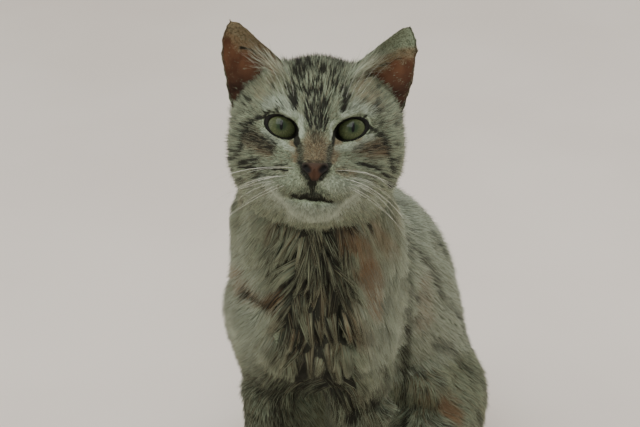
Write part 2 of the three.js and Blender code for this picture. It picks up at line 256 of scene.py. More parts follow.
def normals_at(points, triangles):
    a, b, c = (points[triangles[:, k]] for k in range(3))
    flat = np.cross(b - a, c - a)
    total = np.zeros_like(points)
    for k in range(3):
        for axis in range(3):
            total[:, axis] += np.bincount(triangles[:, k], flat[:, axis], len(points))
    return unit(total)


LATTICE_SIZE = 32
_lattice = np.random.default_rng(11).random((LATTICE_SIZE,) * 3)


def mottle(points, size):
    """Smooth random blotches, 0 to 1, about `size` across."""
    scaled = np.asarray(points) / size
    cell = np.floor(scaled).astype(int)
    within = smoothstep(scaled - cell, 0, 1)
    total = np.zeros(len(scaled))
    for corner in np.ndindex(2, 2, 2):
        value = _lattice[tuple((cell + corner).T % LATTICE_SIZE)]
        total += value * np.abs(1 - np.array(corner) - within).prod(1)
    return total


# ---------------------------------------------------------------- markings and painted shade
# The lower edge of the fur inside each ear, in head mm: below it the leather is bare.
EAR_FUR_EDGE = {"right": [(-54.8, 53.1), (-46.6, 47.4), (-32.6, 44.3), (-25, 34.1)],
                "left": [(27.4, 34.7), (36.9, 39.8), (49.6, 44.9), (58.5, 46.2)]}

# Marks of the face, some of them painted shade: half width and strength, then the mark's line as places
# (across, up) in head mm.
FACE_DARK = {
    "brow bar": [(1.7, 1, (-13.2, 20), (-12.8, 11)), (1.7, 1, (15.6, 18.6), (14.9, 10.6))],
    "brow streak": [(0.5, 0.55, (-7.2, 26.6), (-5, 17)), (0.5, 0.5, (0, 22), (0.5, 6)),
        (0.5, 0.55, (9.4, 23.6), (6.8, 17.6), (6.2, 9)), (0.4, 0.4, (-3, 16), (-2.4, 9)),
        (0.4, 0.4, (3.6, 18.6), (4, 10))],
    "bridge fleck": [(4.6, 0.52, (0, 12), (0, -6))],
    # Painted shade in each eye's inner corner.
    "eye corner shade": [(1.4, 0.95, (-11.4, -2), (-11, -9.5)), (1.3, 0.95, (10.8, -2.6), (9.9, -9.3))],
    # Painted shadow under the edge of the fur inside each ear.
    "ear fold shadow": [(0.9, 0.8, (-46, 46.5), (-38, 44), (-30, 42)), (0.8, 0.6, (36, 38.8), (48, 43.4))],
    "eye line": [(1.2, 0.85, (-29.8, 6), (-35.7, 4), (-39.7, 1), (-42, -5.6), (-44, -13), (-46.4, -17)),
        (1.2, 0.85, (29.4, 2), (35, 0), (39.6, -3.6), (41.4, -11), (43.8, -18.4), (45.6, -23.4))],
    "cheek patch": [(5.6, 0.62, (-37, -6), (-26, -11)), (5, 0.5, (26, -11.5), (37, -8.5))],
    "cheek stripe": [(1.1, 0.85, (-43, -21.6), (-38, -20), (-33.6, -18.4)),
        (1.1, 0.85, (24.3, -20), (34, -20.6), (38.6, -24), (43, -26.4))],
    "whisker line": [(0.8, 0.9, (-43.8, -23.6), (-31, -23.9), (-15.3, -24.3)),
        (0.5, 0.45, (-31, -28), (-15.3, -27.6)), (0.8, 0.55, (-23, -22.2), (-15.9, -21.2)),
        (0.7, 0.5, (13.4, -22.3), (18, -22.3)), (0.6, 0.6, (13.4, -24.6), (19, -24)),
        (0.5, 0.5, (12.3, -28), (26, -29.7))],
    # Painted shade down the sides of the nose bridge.
    "bridge side shade": [(2.6, 0.56, (-9.4, -11), (-8.8, -15), (-8.4, -19), (-8, -22)),
        (2.5, 0.56, (8.4, -11), (7.9, -15), (7.8, -19), (7.4, -22))],
    "nose wing": [(1.9, 0.75, (-8.6, -20.5), (-7, -25), (-3.6, -28.8)),
        (1.9, 0.75, (8.4, -20.5), (6.8, -25), (3, -28.8))],
    "lip groove": [(2.8, 0.85, (-1, -29.7), (-1.2, -31.5)), (1.7, 0.72, (-1.2, -31), (-1, -38))],
    "lip shade": [(3.4, 0.42, (-7, -38), (-1, -35), (6, -38.8))],
    "lips": [(1.8, 0.7, (-3.5, -38.4), (-0.5, -38.2), (3, -38.8)),
        (1.4, 0.85, (-6.5, -39.8), (-0.5, -40), (5.5, -40.8)),
        (0.8, 0.95, (-12.4, -39.4), (-6.5, -40.4), (-0.5, -40.9), (5.5, -41.1), (10.4, -41.6)),
        (1.4, 0.35, (-19, -37.4), (-13, -39.5)), (1.2, 0.35, (10.8, -41.7), (15, -42.2))],
    "bridge shade": [(9.5, 0.4, (-0.3, -8), (-0.3, -19))],
    "nose top": [(1.3, 0.55, (-6, -19.8), (0, -18.8), (6, -19.8))],
}
FACE_WARM = {
    "nose bridge": [(9.5, 0.62, (-0.3, -10), (-0.3, -20))],
    "duct rust": [(2.8, 0.55, (-13.5, -9), (-11, -18)), (2.8, 0.55, (12.6, -8), (10.4, -18))],
    "cheek tan": [(6, 0.6, (-37, -7), (-28, -12)), (6, 0.65, (27, -10), (37, -10))],
    "temple tan": [(7, 0.3, (-33, 20), (-26, 26)), (8, 0.4, (31, 16), (26, 26))],
    "pad spot": [(3, 0.3, (-22, -24), (-16, -24)), (3, 0.45, (14, -24), (22, -25))],
    "ear rim": [(2.2, 0.6, (-56, 52), (-54.5, 38), (-50, 24)), (2, 0.5, (60, 48), (56, 34), (52, 22))],
    "ear lining": [(5, 0.7, *EAR_FUR_EDGE["right"]), (5, 0.6, *EAR_FUR_EDGE["left"])],
    "ear tip": [(7, 0.6, (-54, 62), (-44, 55), (-34, 48))],
}
FACE_PALE = {
    "upper lid": [(4, 0.62, (-29, 12), (-22, 15), (-14, 8.5)), (4, 0.62, (16.5, 9), (24, 13.6), (31, 10.5))],
    "inner corner": [(1.8, 0.75, (-9.6, 6), (-8.8, -5)), (1.6, 0.7, (8.8, 4), (9, -6))],
    "lower lid": [(2.4, 0.62, (-30, -3), (-21, -9.8), (-13.5, -13)),
        (2.6, 0.62, (14, -12), (22, -10), (32, -3.5))],
    "whisker pad": [(6, 0.3, (-24, -30), (-8, -31)), (6, 0.55, (8, -32), (24, -33))],
    "muzzle rim": [(3.6, 0.7, (-30, -30), (-24, -39), (-13, -45.5)),
        (3.6, 0.7, (30, -32), (22, -40), (12, -46))],
    "jaw": [(4.5, 0.4, (-36, -38), (-22, -46)), (4.5, 0.4, (20, -46), (36, -41))],
    "chin": [(5.6, 0.7, (-12, -47.5), (0, -49.5), (12, -48))],
}

# Marks of the body, some of the dark ones painted shade: half width and strength, then the mark's line as
# places in row mm.
BODY_DARK = {
    # Dark gaps between the chest's locks: partly dark undercoat, partly painted shade.
    "chest lock gap undercoat and shade": [(2.5, 0.9, (39, -122, 264), (38, -120, 248), (39, -117, 233), (42, -117, 225)),
        (2.2, 0.9, (45, -119, 265), (45, -116, 247), (46, -115, 227), (53, -116, 204)),
        (3, 0.9, (51, -112, 248), (53, -110, 238)),
        (2.2, 0.9, (51, -111, 229), (55, -112, 220), (61, -109, 206)),
        (2.5, 0.9, (27, -122, 243), (29, -120, 232), (31, -119, 220), (43, -119, 207)),
        (2.2, 0.9, (16, -119, 224), (13, -118, 210), (10, -118, 203)),
        (1.8, 0.7, (25, -126, 260), (22, -124, 250)), (2.5, 0.9, (23, -119, 206), (27, -118, 196)),
        (2.2, 0.9, (21, -112, 173), (34, -117, 188), (44, -117, 196))],
    # Dark gaps between the locks under the throat: partly dark undercoat, partly painted shade.
    "throat lock gap undercoat and shade": [(1.5, 0.4, (29, -131, 290), (30, -129, 281)),
        (1.5, 0.4, (35, -131, 291), (35, -129, 283)), (1.5, 0.55, (32, -127, 277), (31, -125, 268)),
        (1.5, 0.55, (39, -124, 277), (43, -120, 268))],
    "chest middle": [(17, 0.33, (34, -126, 277), (33, -120, 240), (35, -119, 206), (26, -109, 165))],
    "necklace": [(2.6, 0.75, (46, -121, 279), (51, -116, 273), (54, -113, 264)),
        (3.4, 0.35, (2, -127, 276), (14, -131, 283))],
    "neck spot": [(2.8, 0.85, (63, -106, 284), (64, -100, 276))],
    "shoulder bar": [(4.5, 0.7, (-14, -115, 228), (-4, -118, 224), (4, -119, 222))],
    "chest low": [(2.3, 0.85, (43, -116, 193), (34, -116, 186), (23, -112, 174))],
    "elbow spot": [(2.9, 0.8, (68, -89, 179), (68, -78, 168)), (4.6, 0.95, (61, -85, 147), (67, -81, 138)),
        (4.6, 0.95, (45, -95, 134), (51, -91, 138))],
    "elbow bar": [(2.9, 0.85, (-39, -81, 138), (-28, -86, 138), (-15, -94, 138))],
    # Painted shade on the inner side of the right foreleg.
    "leg inner shade": [(8, 0.62, (-6, -94, 142), (-6, -90, 130), (-4, -90, 100))],
    # Painted shade between the forelegs.
    "shade between the legs": [(13, 0.6, (8, -92, 142), (8, -60, 110))],
    # Painted shade in the crease between the chest and the flank.
    "flank fold shade": [(3.6, 0.45, (64, -38, 240), (67, -42, 223), (66, -39, 199), (61, -24, 167)),
        (4.2, 0.6, (61, -24, 167), (56, -14, 145), (52, -6, 120), (52, -11, 107), (56, -21, 89))],
    # Painted shade at the foot of the chest, between the forelegs.
    "chest foot shade": [(10, 0.5, (14, -100, 150), (40, -97, 146))],
}
BODY_WARM = {
    "necklace": [(6.5, 0.8, (50, -118, 278), (56, -111, 271), (61, -105, 268))],
    "neck tan": [(7.5, 0.55, (63, -105, 287), (67, -93, 271), (70, -74, 251))],
    "shoulder bar": [(7, 0.95, (-30, -106, 231), (-15, -116, 229), (-6, -118, 224), (4, -119, 224))],
    "chest tan": [(9.5, 1, (62, -103, 254), (63, -94, 237), (65, -94, 227)),
        (10.3, 0.5, (53, -112, 221), (65, -105, 204)), (6.5, 0.5, (6, -119, 206), (22, -117, 194)),
        (16, 0.42, (35, -118, 233), (38, -119, 202))],
    "throat tan": [(5.5, 0.45, (11, -132, 285), (3, -125, 267))],
    "flank tan": [(9, 0.7, (70, -22, 205), (68, -10, 165)), (9, 0.75, (79, 3, 97), (87, 7, 89)),
        (8.6, 0.4, (67, -8, 101), (82, 13, 96))],
}
BODY_PALE = {
    "neck side": [(9, 0.4, (-12, -119, 277), (-19, -114, 250))],
    "shoulder": [(10, 0.35, (-14, -119, 209), (-17, -108, 171))],
    "chest edge": [(6, 0.5, (70, -81, 256), (67, -64, 219), (70, -79, 188))],
    "flank": [(12, 0.35, (69, -16, 225), (73, 0, 181), (72, 16, 141))],
    "neck": [(5, 0.45, (68, -83, 280), (70, -78, 262))],
}


def nearness(points, line, half_width, spread=0.6):
    """1 on a line through a few places, falling to 0 past its half width."""
    nearest = np.full(len(points), 1e9)
    line = np.array(line, float)
    for start, along in zip(line, np.diff(line, axis=0)):
        share = np.clip((points - start) @ along / (along @ along), 0, 1)
        nearest = np.minimum(nearest, np.linalg.norm(points - start - share[:, None] * along, axis=1))
    return 1 - smoothstep(nearest, half_width * (1 - spread), half_width * (1 + spread))


def marked(points, marks):
    """How strongly the marks of a table cover each point."""
    total = np.zeros(len(points))
    for places in marks.values():
        for half_width, strength, *line in places:
            total = np.maximum(total, strength * nearness(points, line, half_width))
    return total


def stripes(points, spacing, direction, waver=6.0):
    """Soft cross bars along a direction, broken up by blotches."""
    along = points @ np.array(direction) / MM + waver * (mottle(points, 0.035) - 0.5) * 2
    wave = 0.5 + 0.5 * np.cos(2 * np.pi * along / spacing)
    return smoothstep(wave, 0.62, 0.95) * smoothstep(mottle(points + 0.3, 0.02), 0.25, 0.6)


def wavered(points, amount, size):
    """Points moved about at random but smoothly, so that the edge of a mark isn't a clean line."""
    moves = [mottle(points + shift, size) - 0.5 for shift in (0.0, 7.1 * size, 13.7 * size)]
    return points + np.stack(moves, 1) * 2 * amount


def chest_locks(millimetres):
    """Where the coat of the chest hangs in locks: 1 down its middle, 0 at its sides."""
    return nearness(millimetres, LOCK_MIDDLE, LOCK_HALF_WIDTH)


def lock_gaps(millimetres, low, high):
    """1 in the gaps between the locks that spread from under the chin, 0 on their backs."""
    moved = wavered(millimetres, 2.2, 15.0)
    away = moved - LOCK_MIDDLE[0]
    down = np.hypot(away[:, 0], away[:, 2])
    turn = np.arctan2(away[:, 0], -away[:, 2])
    locks = mottle(np.stack([turn * 9, down / 30, moved[:, 1] / 70], 1), 1.0)
    return 1 - smoothstep(np.abs(locks - 0.5), low, high)


def face_streaks(face):
    """Fine and broad streaks that run away from the nose with the hair."""
    away = face - NOSE_ROOT
    distance = np.linalg.norm(away, axis=1)
    turn = np.arctan2(away[:, 2], away[:, 0])
    rounds = np.stack([turn * 62, distance * 0.5, face[:, 1] * 0.4], 1)
    return mottle(rounds, 1.5), mottle(rounds + 90, 4.0)


def head_marks_and_painted_shade(face, part):
    """Dark, warm and pale shares at points of the head, given in head mm; the dark share holds painted shade as
    well as marks.
    """
    across, depth, height = face.T
    front = smoothstep(-depth, -64, -44)
    near, far = (wavered(face, *waver)[:, [0, 2]] for waver in ((0.8, 3.0), (2.0, 5.0)))
    fine, broad = face_streaks(face)
    aside = np.abs(across) - 8 * smoothstep(height, 16, 26)
    forehead = smoothstep(height, -9, 4) * (1 - smoothstep(aside, 5, 11)) * smoothstep(fine, 0.36, 0.58)
    from_muzzle = np.linalg.norm(face[:, [0, 2]] - MUZZLE_MIDDLE, axis=1)
    sides = smoothstep(from_muzzle, 24, 36) * smoothstep(height, -42, -30) * ~PART_IS_EAR[part]
    sides = sides * smoothstep(0.5 * fine + 0.5 * broad, 0.5, 0.7)
    crown = smoothstep(height, 22, 36) * (1 - smoothstep(np.abs(across), 16, 30))
    crown = crown * (1 - smoothstep(depth, 45, 68))
    dark = highest(front * marked(near, FACE_DARK), 0.95 * forehead, 0.72 * sides, 0.4 * crown)
    warm = front * marked(near, FACE_WARM)
    pale = highest(front * marked(far, FACE_PALE), 0.2 * smoothstep(depth, 10, 45))
    return dark, warm, pale


def body_marks_and_painted_shade(points, face, part):
    """Dark, warm and pale shares at points of the body, legs and tail; the dark share holds painted shade as
    well as marks.
    """
    trunk, haunch, leg, tail = PART_IS_TRUNK[part], PART_IS_HAUNCH[part], PART_IS_LEG[part], PART_IS_TAIL[part]
    millimetres = points / MM
    _, back, height = millimetres.T
    moved = wavered(millimetres, 2.5, 9.0)
    locks = chest_locks(millimetres)
    # Darkening in the gaps between the chest's locks: partly dark undercoat, partly painted shade.
    gaps = lock_gaps(millimetres, 0.03, 0.15) * smoothstep(mottle(points + 5, 0.02), 0.3, 0.6)
    # Painted shade low on the chest's front, where it recedes between the forelegs; it also holds back the pale
    # there.
    foot = (1 - smoothstep(height, 140, 195)) * smoothstep(-back, 45, 75)
    from_head_middle = np.linalg.norm(face - HEAD_MIDDLE, axis=1)
    nape = smoothstep(face[:, 1], 10, 45) * (1 - smoothstep(from_head_middle, 60, 115))
    off_spine = np.abs(moved[:, 0] - BODY_LINE + 8 * (mottle(points + 1, 0.03) - 0.5))
    spine = (1 - smoothstep(off_spine, 2, 22)) * smoothstep(mottle(points + 4, 0.014), 0.2, 0.55)
    flank = np.maximum(trunk * smoothstep(back, -62, -35), haunch)
    rings = 0.5 + 0.5 * np.cos(2 * np.pi * (moved[:, 1] - 0.3 * moved[:, 0]) / 26)
    dark = highest(
        marked(moved, BODY_DARK),
        0.48 * trunk * foot,
        0.95 * trunk * locks * gaps,
        0.5 * trunk * spine * smoothstep(back, -20, 20),
        0.45 * flank * stripes(points, 24, (0, 0.75, 0.62)),
        0.46 * leg * (1 - 0.3 * smoothstep(height, 110, 160)),
        0.55 * leg * stripes(points, 22, (0, 0.1, 1), 3),
        0.6 * tail * smoothstep(rings, 0.45, 0.9),
        0.3 * smoothstep(mottle(points + 2, 0.012), 0.55, 0.85))
    warm = highest(marked(moved, BODY_WARM), 0.35 * smoothstep(mottle(points, 0.03), 0.5, 0.85))
    pale = highest(marked(moved, BODY_PALE), 0.52 * trunk * (1 - locks) * (1 - 0.7 * nape) * (1 - 0.7 * foot))
    return dark, warm, pale


def marks_and_painted_shade(points, part):
    """Dark, warm and pale shares at each point, the dark share holding painted shade as well as marks; `part`
    holds the index of each point's part.
    """
    face = to_head(points)
    return np.where(PART_IS_HEAD[part], head_marks_and_painted_shade(face, part), body_marks_and_painted_shade(points, face, part))


# ---------------------------------------------------------------- parts and the lie of the coat
FLESH = sorted(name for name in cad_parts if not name.startswith(("eye_", "nose")))
FILLING = sorted(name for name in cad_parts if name.startswith(("eye_", "nose")))
PARTS = FLESH + FILLING


def parts_named(*starts):
    """For each part, whether its name starts with one of these."""
    return np.array([name.startswith(starts) for name in PARTS])


PART_IS_HEAD = parts_named("head", "eye", "nose", "ear")
PART_IS_EAR = parts_named("ear")
PART_IS_TRUNK = parts_named("trunk", "neck")
PART_IS_HAUNCH = parts_named("hind_leg")
PART_IS_LEG = parts_named("fore", "hind_foot")
PART_IS_TAIL = parts_named("tail")

# Length and width of a tuft and its rise off the skin: mm, mm, degrees.
COATS = {
    "head": (7, 0.45, 20),
    "ear": (1.9, 0.32, 12),
    "neck": (14, 0.6, 17),
    "trunk": (12, 0.62, 15),
    "foreleg": (7, 0.55, 14),
    "forepaw": (3.6, 0.45, 13),
    "hind_leg": (10.5, 0.6, 15),
    "hind_foot": (4.4, 0.5, 13),
    "tail": (11, 0.6, 17),
}
# The way the coat lies on the limbs: across, back, up.
LIES = {
    "foreleg": (0, 0.12, -1),
    "forepaw": (0, -1, -0.35),
    "hind_leg": (0, 0.35, -0.9),
    "hind_foot": (0, -1, -0.35),
    "tail_base": (-0.8, 0.6, -0.3),
    "tail_middle": (-0.35, -0.95, 0),
    "tail_tip": (0.02, -1, 0),
}
BODY_LINE = 1e3 * (middle_of("forepaw_left")[0] + middle_of("forepaw_right")[0]) / 2  # row mm
LOCK_MIDDLE = [(32, -126, 277), (33, -121, 240), (35, -119, 206), (28, -110, 165)]  # row mm, down the chest
LOCK_HALF_WIDTH = 26
# In head mm: where the coat of the face starts from, the muzzle's middle and the head's middle.
NOSE_ROOT = np.array([0.0, -22.0, -15.0])
MUZZLE_MIDDLE = (0, -15)
HEAD_MIDDLE = (0, 32, 0)


def for_each_part(table, otherwise):
    """A table's entry for each part, found by the start of the part's name."""
    found = [[entry for start, entry in table.items() if name.startswith(start)] for name in PARTS]
    return np.array([entries[0] if entries else otherwise for entries in found], float)


def ear_inside(points, part):
    """True on the cupped front of the ears."""
    inside = np.zeros(len(points), bool)
    for side, sign in SIGN.items():
        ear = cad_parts[f"ear_{side}"].data
        tree = tree_of(points_of(ear), triangles_of(ear))
        look = AXES @ unit(np.array([0.35 * sign, -0.9, -0.15]))
        for index in np.nonzero(part == PARTS.index(f"ear_{side}"))[0]:
            normal = tree.find_nearest(Vector(points[index]))[1]
            inside[index] = np.dot(np.array(normal), look) > 0.05
    return inside


def direction_of_lie(points, part, cupped):
    """The way the coat lies at each point, before it is laid along the skin."""
    lie = for_each_part(LIES, (0, 0, 0))[part]
    across, back, _ = (points / MM).T
    level = np.ones(len(points))
    down_chest = np.stack([(across - LOCK_MIDDLE[1][0]) / 48, -0.1 * level, -1.0 * level], 1)
    down_back = np.stack([0.15 * (across - BODY_LINE) / 60, 0.65 * level, -0.75 * level], 1)
    share = smoothstep(-back, 40, 75)[:, None]
    lie = np.where(PART_IS_TRUNK[part][:, None], down_chest * share + down_back * (1 - share), lie)
    away = to_head(points) - NOSE_ROOT
    away[:, 1] = np.maximum(away[:, 1], 0) * 0.7 + 6
    lie = np.where(PART_IS_HEAD[part][:, None], unit(away) @ AXES.T, lie)
    for side, sign in SIGN.items():
        ear = part == PARTS.index(f"ear_{side}")
        lie[ear] = AXES @ np.array([0.5 * sign, 0, 1.0])
        lie[ear & cupped] = AXES @ np.array([sign, 0, 0.35])
    return lie


# ---------------------------------------------------------------- the skin's surface
VOXEL = 1.6 * MM
EAR_THICKENING = 0.9 * MM
FIRST_FAIRING, SECOND_FAIRING, LAST_FAIRING = 26, 4, 3  # passes that smooth the skin
JOIN_REACH, JOIN_PASSES = 70, 200  # how wide the joins of the body are smoothed, and how often


def joined_solids():
    """One mesh of all the solids, and the part that each of its triangles belongs to."""
    points, faces, owner, count = [], [], [], 0
    for index, name in enumerate(PARTS):
        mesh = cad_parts[name].data
        here, corners = points_of(mesh), triangles_of(mesh)
        if name.startswith("ear"):
            here = here + EAR_THICKENING * normals_at(here, corners)
        points.append(here)
        faces.append(corners + count)
        owner.append(np.full(len(corners), index))
        count += len(here)
    return np.concatenate(points), np.concatenate(faces), np.concatenate(owner)


def remeshed(name, points, faces, voxel):
    piece = mesh_object(name, points, faces)
    remesh = piece.modifiers.new("even", "REMESH")
    remesh.mode = "VOXEL"
    remesh.voxel_size = voxel
    settle_modifiers(piece)
    return piece


def keep_largest(mesh):
    """Deletes the small bubbles that closed cuts leave inside the skin."""
    ends = rows_of(mesh.edges, "vertices", 2)
    label, new = None, np.arange(len(mesh.vertices))
    while label is None or (new != label).any():
        label = new
        low = np.minimum(label[ends[:, 0]], label[ends[:, 1]])
        new = label.copy()
        for end in ends.T:
            np.minimum.at(new, end, low)
        new = new[new]
    main = np.bincount(label).argmax()
    with edited(mesh) as work:
        bmesh.ops.delete(work, geom=[v for v in work.verts if label[v.index] != main], context="VERTS")


def refine_face(mesh):
    """Splits the mesh finer round the eyes, nose and mouth, and at the ears."""
    across, depth, height = to_head(points_of(mesh)).T
    near = (depth < 26) & (np.abs(across) < 38) & (height > -58) & (height < 20)
    near |= (depth < 50) & (height > 24) & (np.abs(across) > 30 - 0.4 * height)
    with edited(mesh) as work:
        edges = [e for e in work.edges if near[e.verts[0].index] and near[e.verts[1].index]]
        bmesh.ops.subdivide_edges(work, edges=edges, cuts=1, use_grid_fill=True)


# The eye openings: ovals in the face plane whose outer ends are higher.
OPENING_HALF_WIDTH, OPENING_HALF_HEIGHT = 10.6, 6.3
OPENING_SLANT = math.radians(22.0)
EYE_RADIUS = 11.0
SOCKET_DEPTH = 2.5  # mm that the skin sinks behind the eyeball's front


def opening_place(face, side):
    """Where points sit across (-1..1) and up (-1..1) one eye's opening."""
    middle = to_head(EYES[side])
    across = (face[:, 0] - middle[0]) * SIGN[side]
    up = face[:, 2] - middle[2]
    along = across * math.cos(OPENING_SLANT) + up * math.sin(OPENING_SLANT)
    over = -across * math.sin(OPENING_SLANT) + up * math.cos(OPENING_SLANT)
    return along / OPENING_HALF_WIDTH, over / OPENING_HALF_HEIGHT


def ball_front(face, side):
    """How far back the eyeball's surface is, in head mm, at points across the face."""
    middle = to_head(EYES[side])
    off = (face[:, 0] - middle[0]) ** 2 + (face[:, 2] - middle[2]) ** 2
    return middle[1] - np.sqrt(np.maximum(EYE_RADIUS ** 2 - off, 0))


def open_sockets(face):
    """Sinks the skin behind the eyeball inside each opening."""
    for side in EYES:
        along, over = opening_place(face, side)
        inside = (along ** 2 + over ** 2 < 0.92) & (face[:, 1] < 20)
        sunk = ball_front(face, side) + SOCKET_DEPTH
        face[inside, 1] = np.maximum(face[inside, 1], sunk[inside])
    return face


def press_mouth(face):
    """The groove under the nose and the line of the lips."""
    flat = face[:, [0, 2]]
    front = face[:, 1] < 10
    groove = nearness(flat, [(-0.4, -29), (-0.6, -37)], 1.6, 0.9)
    lips = nearness(flat, [(-14, -39.6), (-6.5, -40.3), (-0.5, -40.8), (5.5, -41.1), (11.6, -41.9)], 1.4, 0.9)
    under_nose = nearness(flat, [(-4, -23.5), (0, -26), (4, -23.5)], 2.4, 0.5)
    face[:, 1] += front * (1.3 * groove + 2.2 * lips + 2.4 * under_nose)
    return face


def settle_joins(web, points, part):
    """Smooths away the steps where the solids of the body and legs meet."""
    differs = (part[web.here] != part[web.there]) & ~PART_IS_HEAD[part[web.here]]
    flag = np.zeros(web.count)
    flag[web.here[differs]] = 1
    weight = np.clip(web.soften(flag, JOIN_REACH) * 10, 0, 1)[:, None]
    for _ in range(JOIN_PASSES):
        points = points + 0.6 * weight * (web.mean(points) - points)
    return points


def even_surface():
    """The solids as one even mesh, finer at the face, with the place and the part of each of its points."""
    points, faces, owner = joined_solids()
    tree = tree_of(points, faces)
    piece = remeshed("skin", points, faces, VOXEL)
    keep_largest(piece.data)
    move_points(piece.data, Web(piece.data).fair(points_of(piece.data), FIRST_FAIRING))
    refine_face(piece.data)
    web = Web(piece.data)
    points = web.fair(points_of(piece.data), SECOND_FAIRING)
    part = np.array([owner[tree.find_nearest(Vector(p))[2]] for p in points])
    return piece, web, settle_joins(web, points, part), part


# The coat of the head grows longer away from the nose: mm at the nose, at most, and gained with each mm.
FACE_COAT_LEAST, FACE_COAT_MOST, FACE_COAT_GAIN = 1.6, 9.5, 0.125
FACE_COAT_START, BARE_NOSE = (0, -19, -24), 12  # head mm: what it is measured from, and how far off it starts
LOCK_LENGTH, BRISKET_LENGTH = 9, 8  # mm the coat is longer by in the locks of the chest and at its lower edge
LOCK_RELIEF, EAR_COAT_DEPTH = 5.5, 1.15  # mm
COAT_SWAY = 0.9  # how far the locks of the chest swing to their sides


class Skin:
    """The skin's surface with everything the coat needs to know at each of its points."""

    def __init__(self):
        self.piece, self.web, self.outer, self.part = even_surface()
        self.triangles = triangles_of(self.piece.data)
        self.furry_head = PART_IS_HEAD[self.part] & ~PART_IS_EAR[self.part]
        self.measure_coat()
        self.points = self.sunk_points()
        move_points(self.piece.data, self.points)
        self.tree = tree_of(self.points, self.triangles)
        self.normals = unit(self.web.soften(normals_at(self.points, self.triangles), 4))
        self.cupped = ear_inside(self.points, self.part)
        bare, self.ear_leather_light = self.ear_bare()
        self.bare = self.web.soften(bare, 2)
        self.lie = self.laid_coat()

    def measure_coat(self):
        """Length, width and rise of the coat at each point, and how much it hangs in locks."""
        face, part, soften = to_head(self.outer), self.part, self.web.soften
        across, back, height = (self.outer / MM).T
        length, width, rise = for_each_part(COATS, COATS["head"])[part].T
        off_nose = np.linalg.norm(face - FACE_COAT_START, axis=1) - BARE_NOSE
        on_face = np.clip(FACE_COAT_LEAST + off_nose * FACE_COAT_GAIN, FACE_COAT_LEAST, FACE_COAT_MOST)
        length = np.where(self.furry_head, on_face, length)
        for side in EYES:
            near_lid = 1 - smoothstep(np.hypot(*opening_place(face, side)), 1.1, 1.9)
            length = np.where(self.furry_head, length * (1 - 0.65 * near_lid), length)
        width = np.where(self.furry_head, 0.3 + 0.018 * length, width)
        length = length * (1 - 0.6 * PART_IS_EAR[part] * smoothstep(face[:, 2], 44, 56))
        trunk = PART_IS_TRUNK[part]
        chest = soften(trunk * smoothstep(-back, 50, 95), 20) * chest_locks(self.outer / MM)
        brisket = trunk * smoothstep(-height, -172, -150) * smoothstep(-back, 55, 75)
        brisket = brisket * (1 - smoothstep(np.abs(across - 14), 10, 24))
        self.chest = chest
        self.length = soften(length + LOCK_LENGTH * chest + BRISKET_LENGTH * soften(brisket, 10), 20)
        self.width = soften(width, 20)
        self.rise = soften(rise - 4 * chest, 20)

    def sunk_points(self):
        """The points moved in by the depth of the coat, with the sockets opened and the mouth pressed in."""
        depth = self.length * np.sin(np.radians(self.rise)) * 1.15 + 0.3
        depth = np.where(self.furry_head, depth * 0.65, depth)
        depth = depth + LOCK_RELIEF * self.chest * lock_gaps(self.outer / MM, 0.0, 0.28)
        depth = self.web.soften(np.where(PART_IS_EAR[self.part], EAR_COAT_DEPTH, depth), 2)
        normals = self.web.soften(normals_at(self.outer, self.triangles), 6)
        points = self.web.fair(self.outer - unit(normals) * depth[:, None] * MM, LAST_FAIRING)
        face = press_mouth(open_sockets(to_head(points)))
        return np.where(PART_IS_HEAD[self.part][:, None], from_head(face), points)

    def ear_bare(self):
        """How bare the inside of the ears is below the ragged edge of the fur, and how lit its leather is
        painted: painted light higher up the ear, painted shade lower down.
        """
        face = wavered(to_head(self.points), 1.0, 3.0)
        bare = self.cupped.astype(float)
        ragged = (mottle(self.points, 0.0035) - 0.5) * 6
        for edge in EAR_FUR_EDGE.values():
            across, height = np.array(edge).T
            near = np.sign(face[:, 0]) == np.sign(across[0])
            below = 1 - smoothstep(face[:, 2] - np.interp(face[:, 0], across, height) + ragged, -4.0, 1.5)
            bare = np.where(near, bare * below, bare)
        return bare, smoothstep(face[:, 2], 20, 40)

    def laid_coat(self):
        """The lie of the coat along the skin, turned to and fro over the chest."""
        lie = unit(direction_of_lie(self.points, self.part, self.cupped))
        for _ in range(4):
            lie = np.where(self.furry_head[:, None], self.web.soften(lie, 6), self.web.soften(lie, 24))
            lie = unit(lie - self.normals * (lie * self.normals).sum(1, keepdims=True))
        sway = COAT_SWAY * self.chest * (mottle(self.points, 0.02) - 0.5) * 2
        return unit(lie + np.cross(self.normals, lie) * sway[:, None])


def build_skin():
    skin = Skin()
    piece = skin.piece
    dark, warm, pale = marks_and_painted_shade(skin.outer, skin.part)
    along = np.full(len(dark), 0.25)
    # The skin under the chest's locks is darkened: partly dark undercoat, partly painted shade between the
    # locks.
    add_values(piece.data, "marks", np.stack([highest(dark, 0.8 * skin.chest), warm, pale, along], 1))
    # Its last three columns hold how lit the ear leather is painted, from painted shade low on the ear to
    # painted light higher up.
    add_values(piece.data, "bare", np.stack([skin.bare] + [skin.ear_leather_light] * 3, 1))
    piece.data.materials.append(skin_material())
    piece.data.shade_smooth()
    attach(piece, "root")
    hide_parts(*FLESH)
    return skin


def met_from_front(skin, across, height, start):
    """Where lines straight back from `start` mm before the face plane meet the skin, with its normals there."""
    starts = from_head(np.stack([across, np.full(len(across), -start), height], 1))
    way = Vector(AXES[:, 1])
    return [skin.tree.ray_cast(Vector(place), way)[:2] for place in starts]


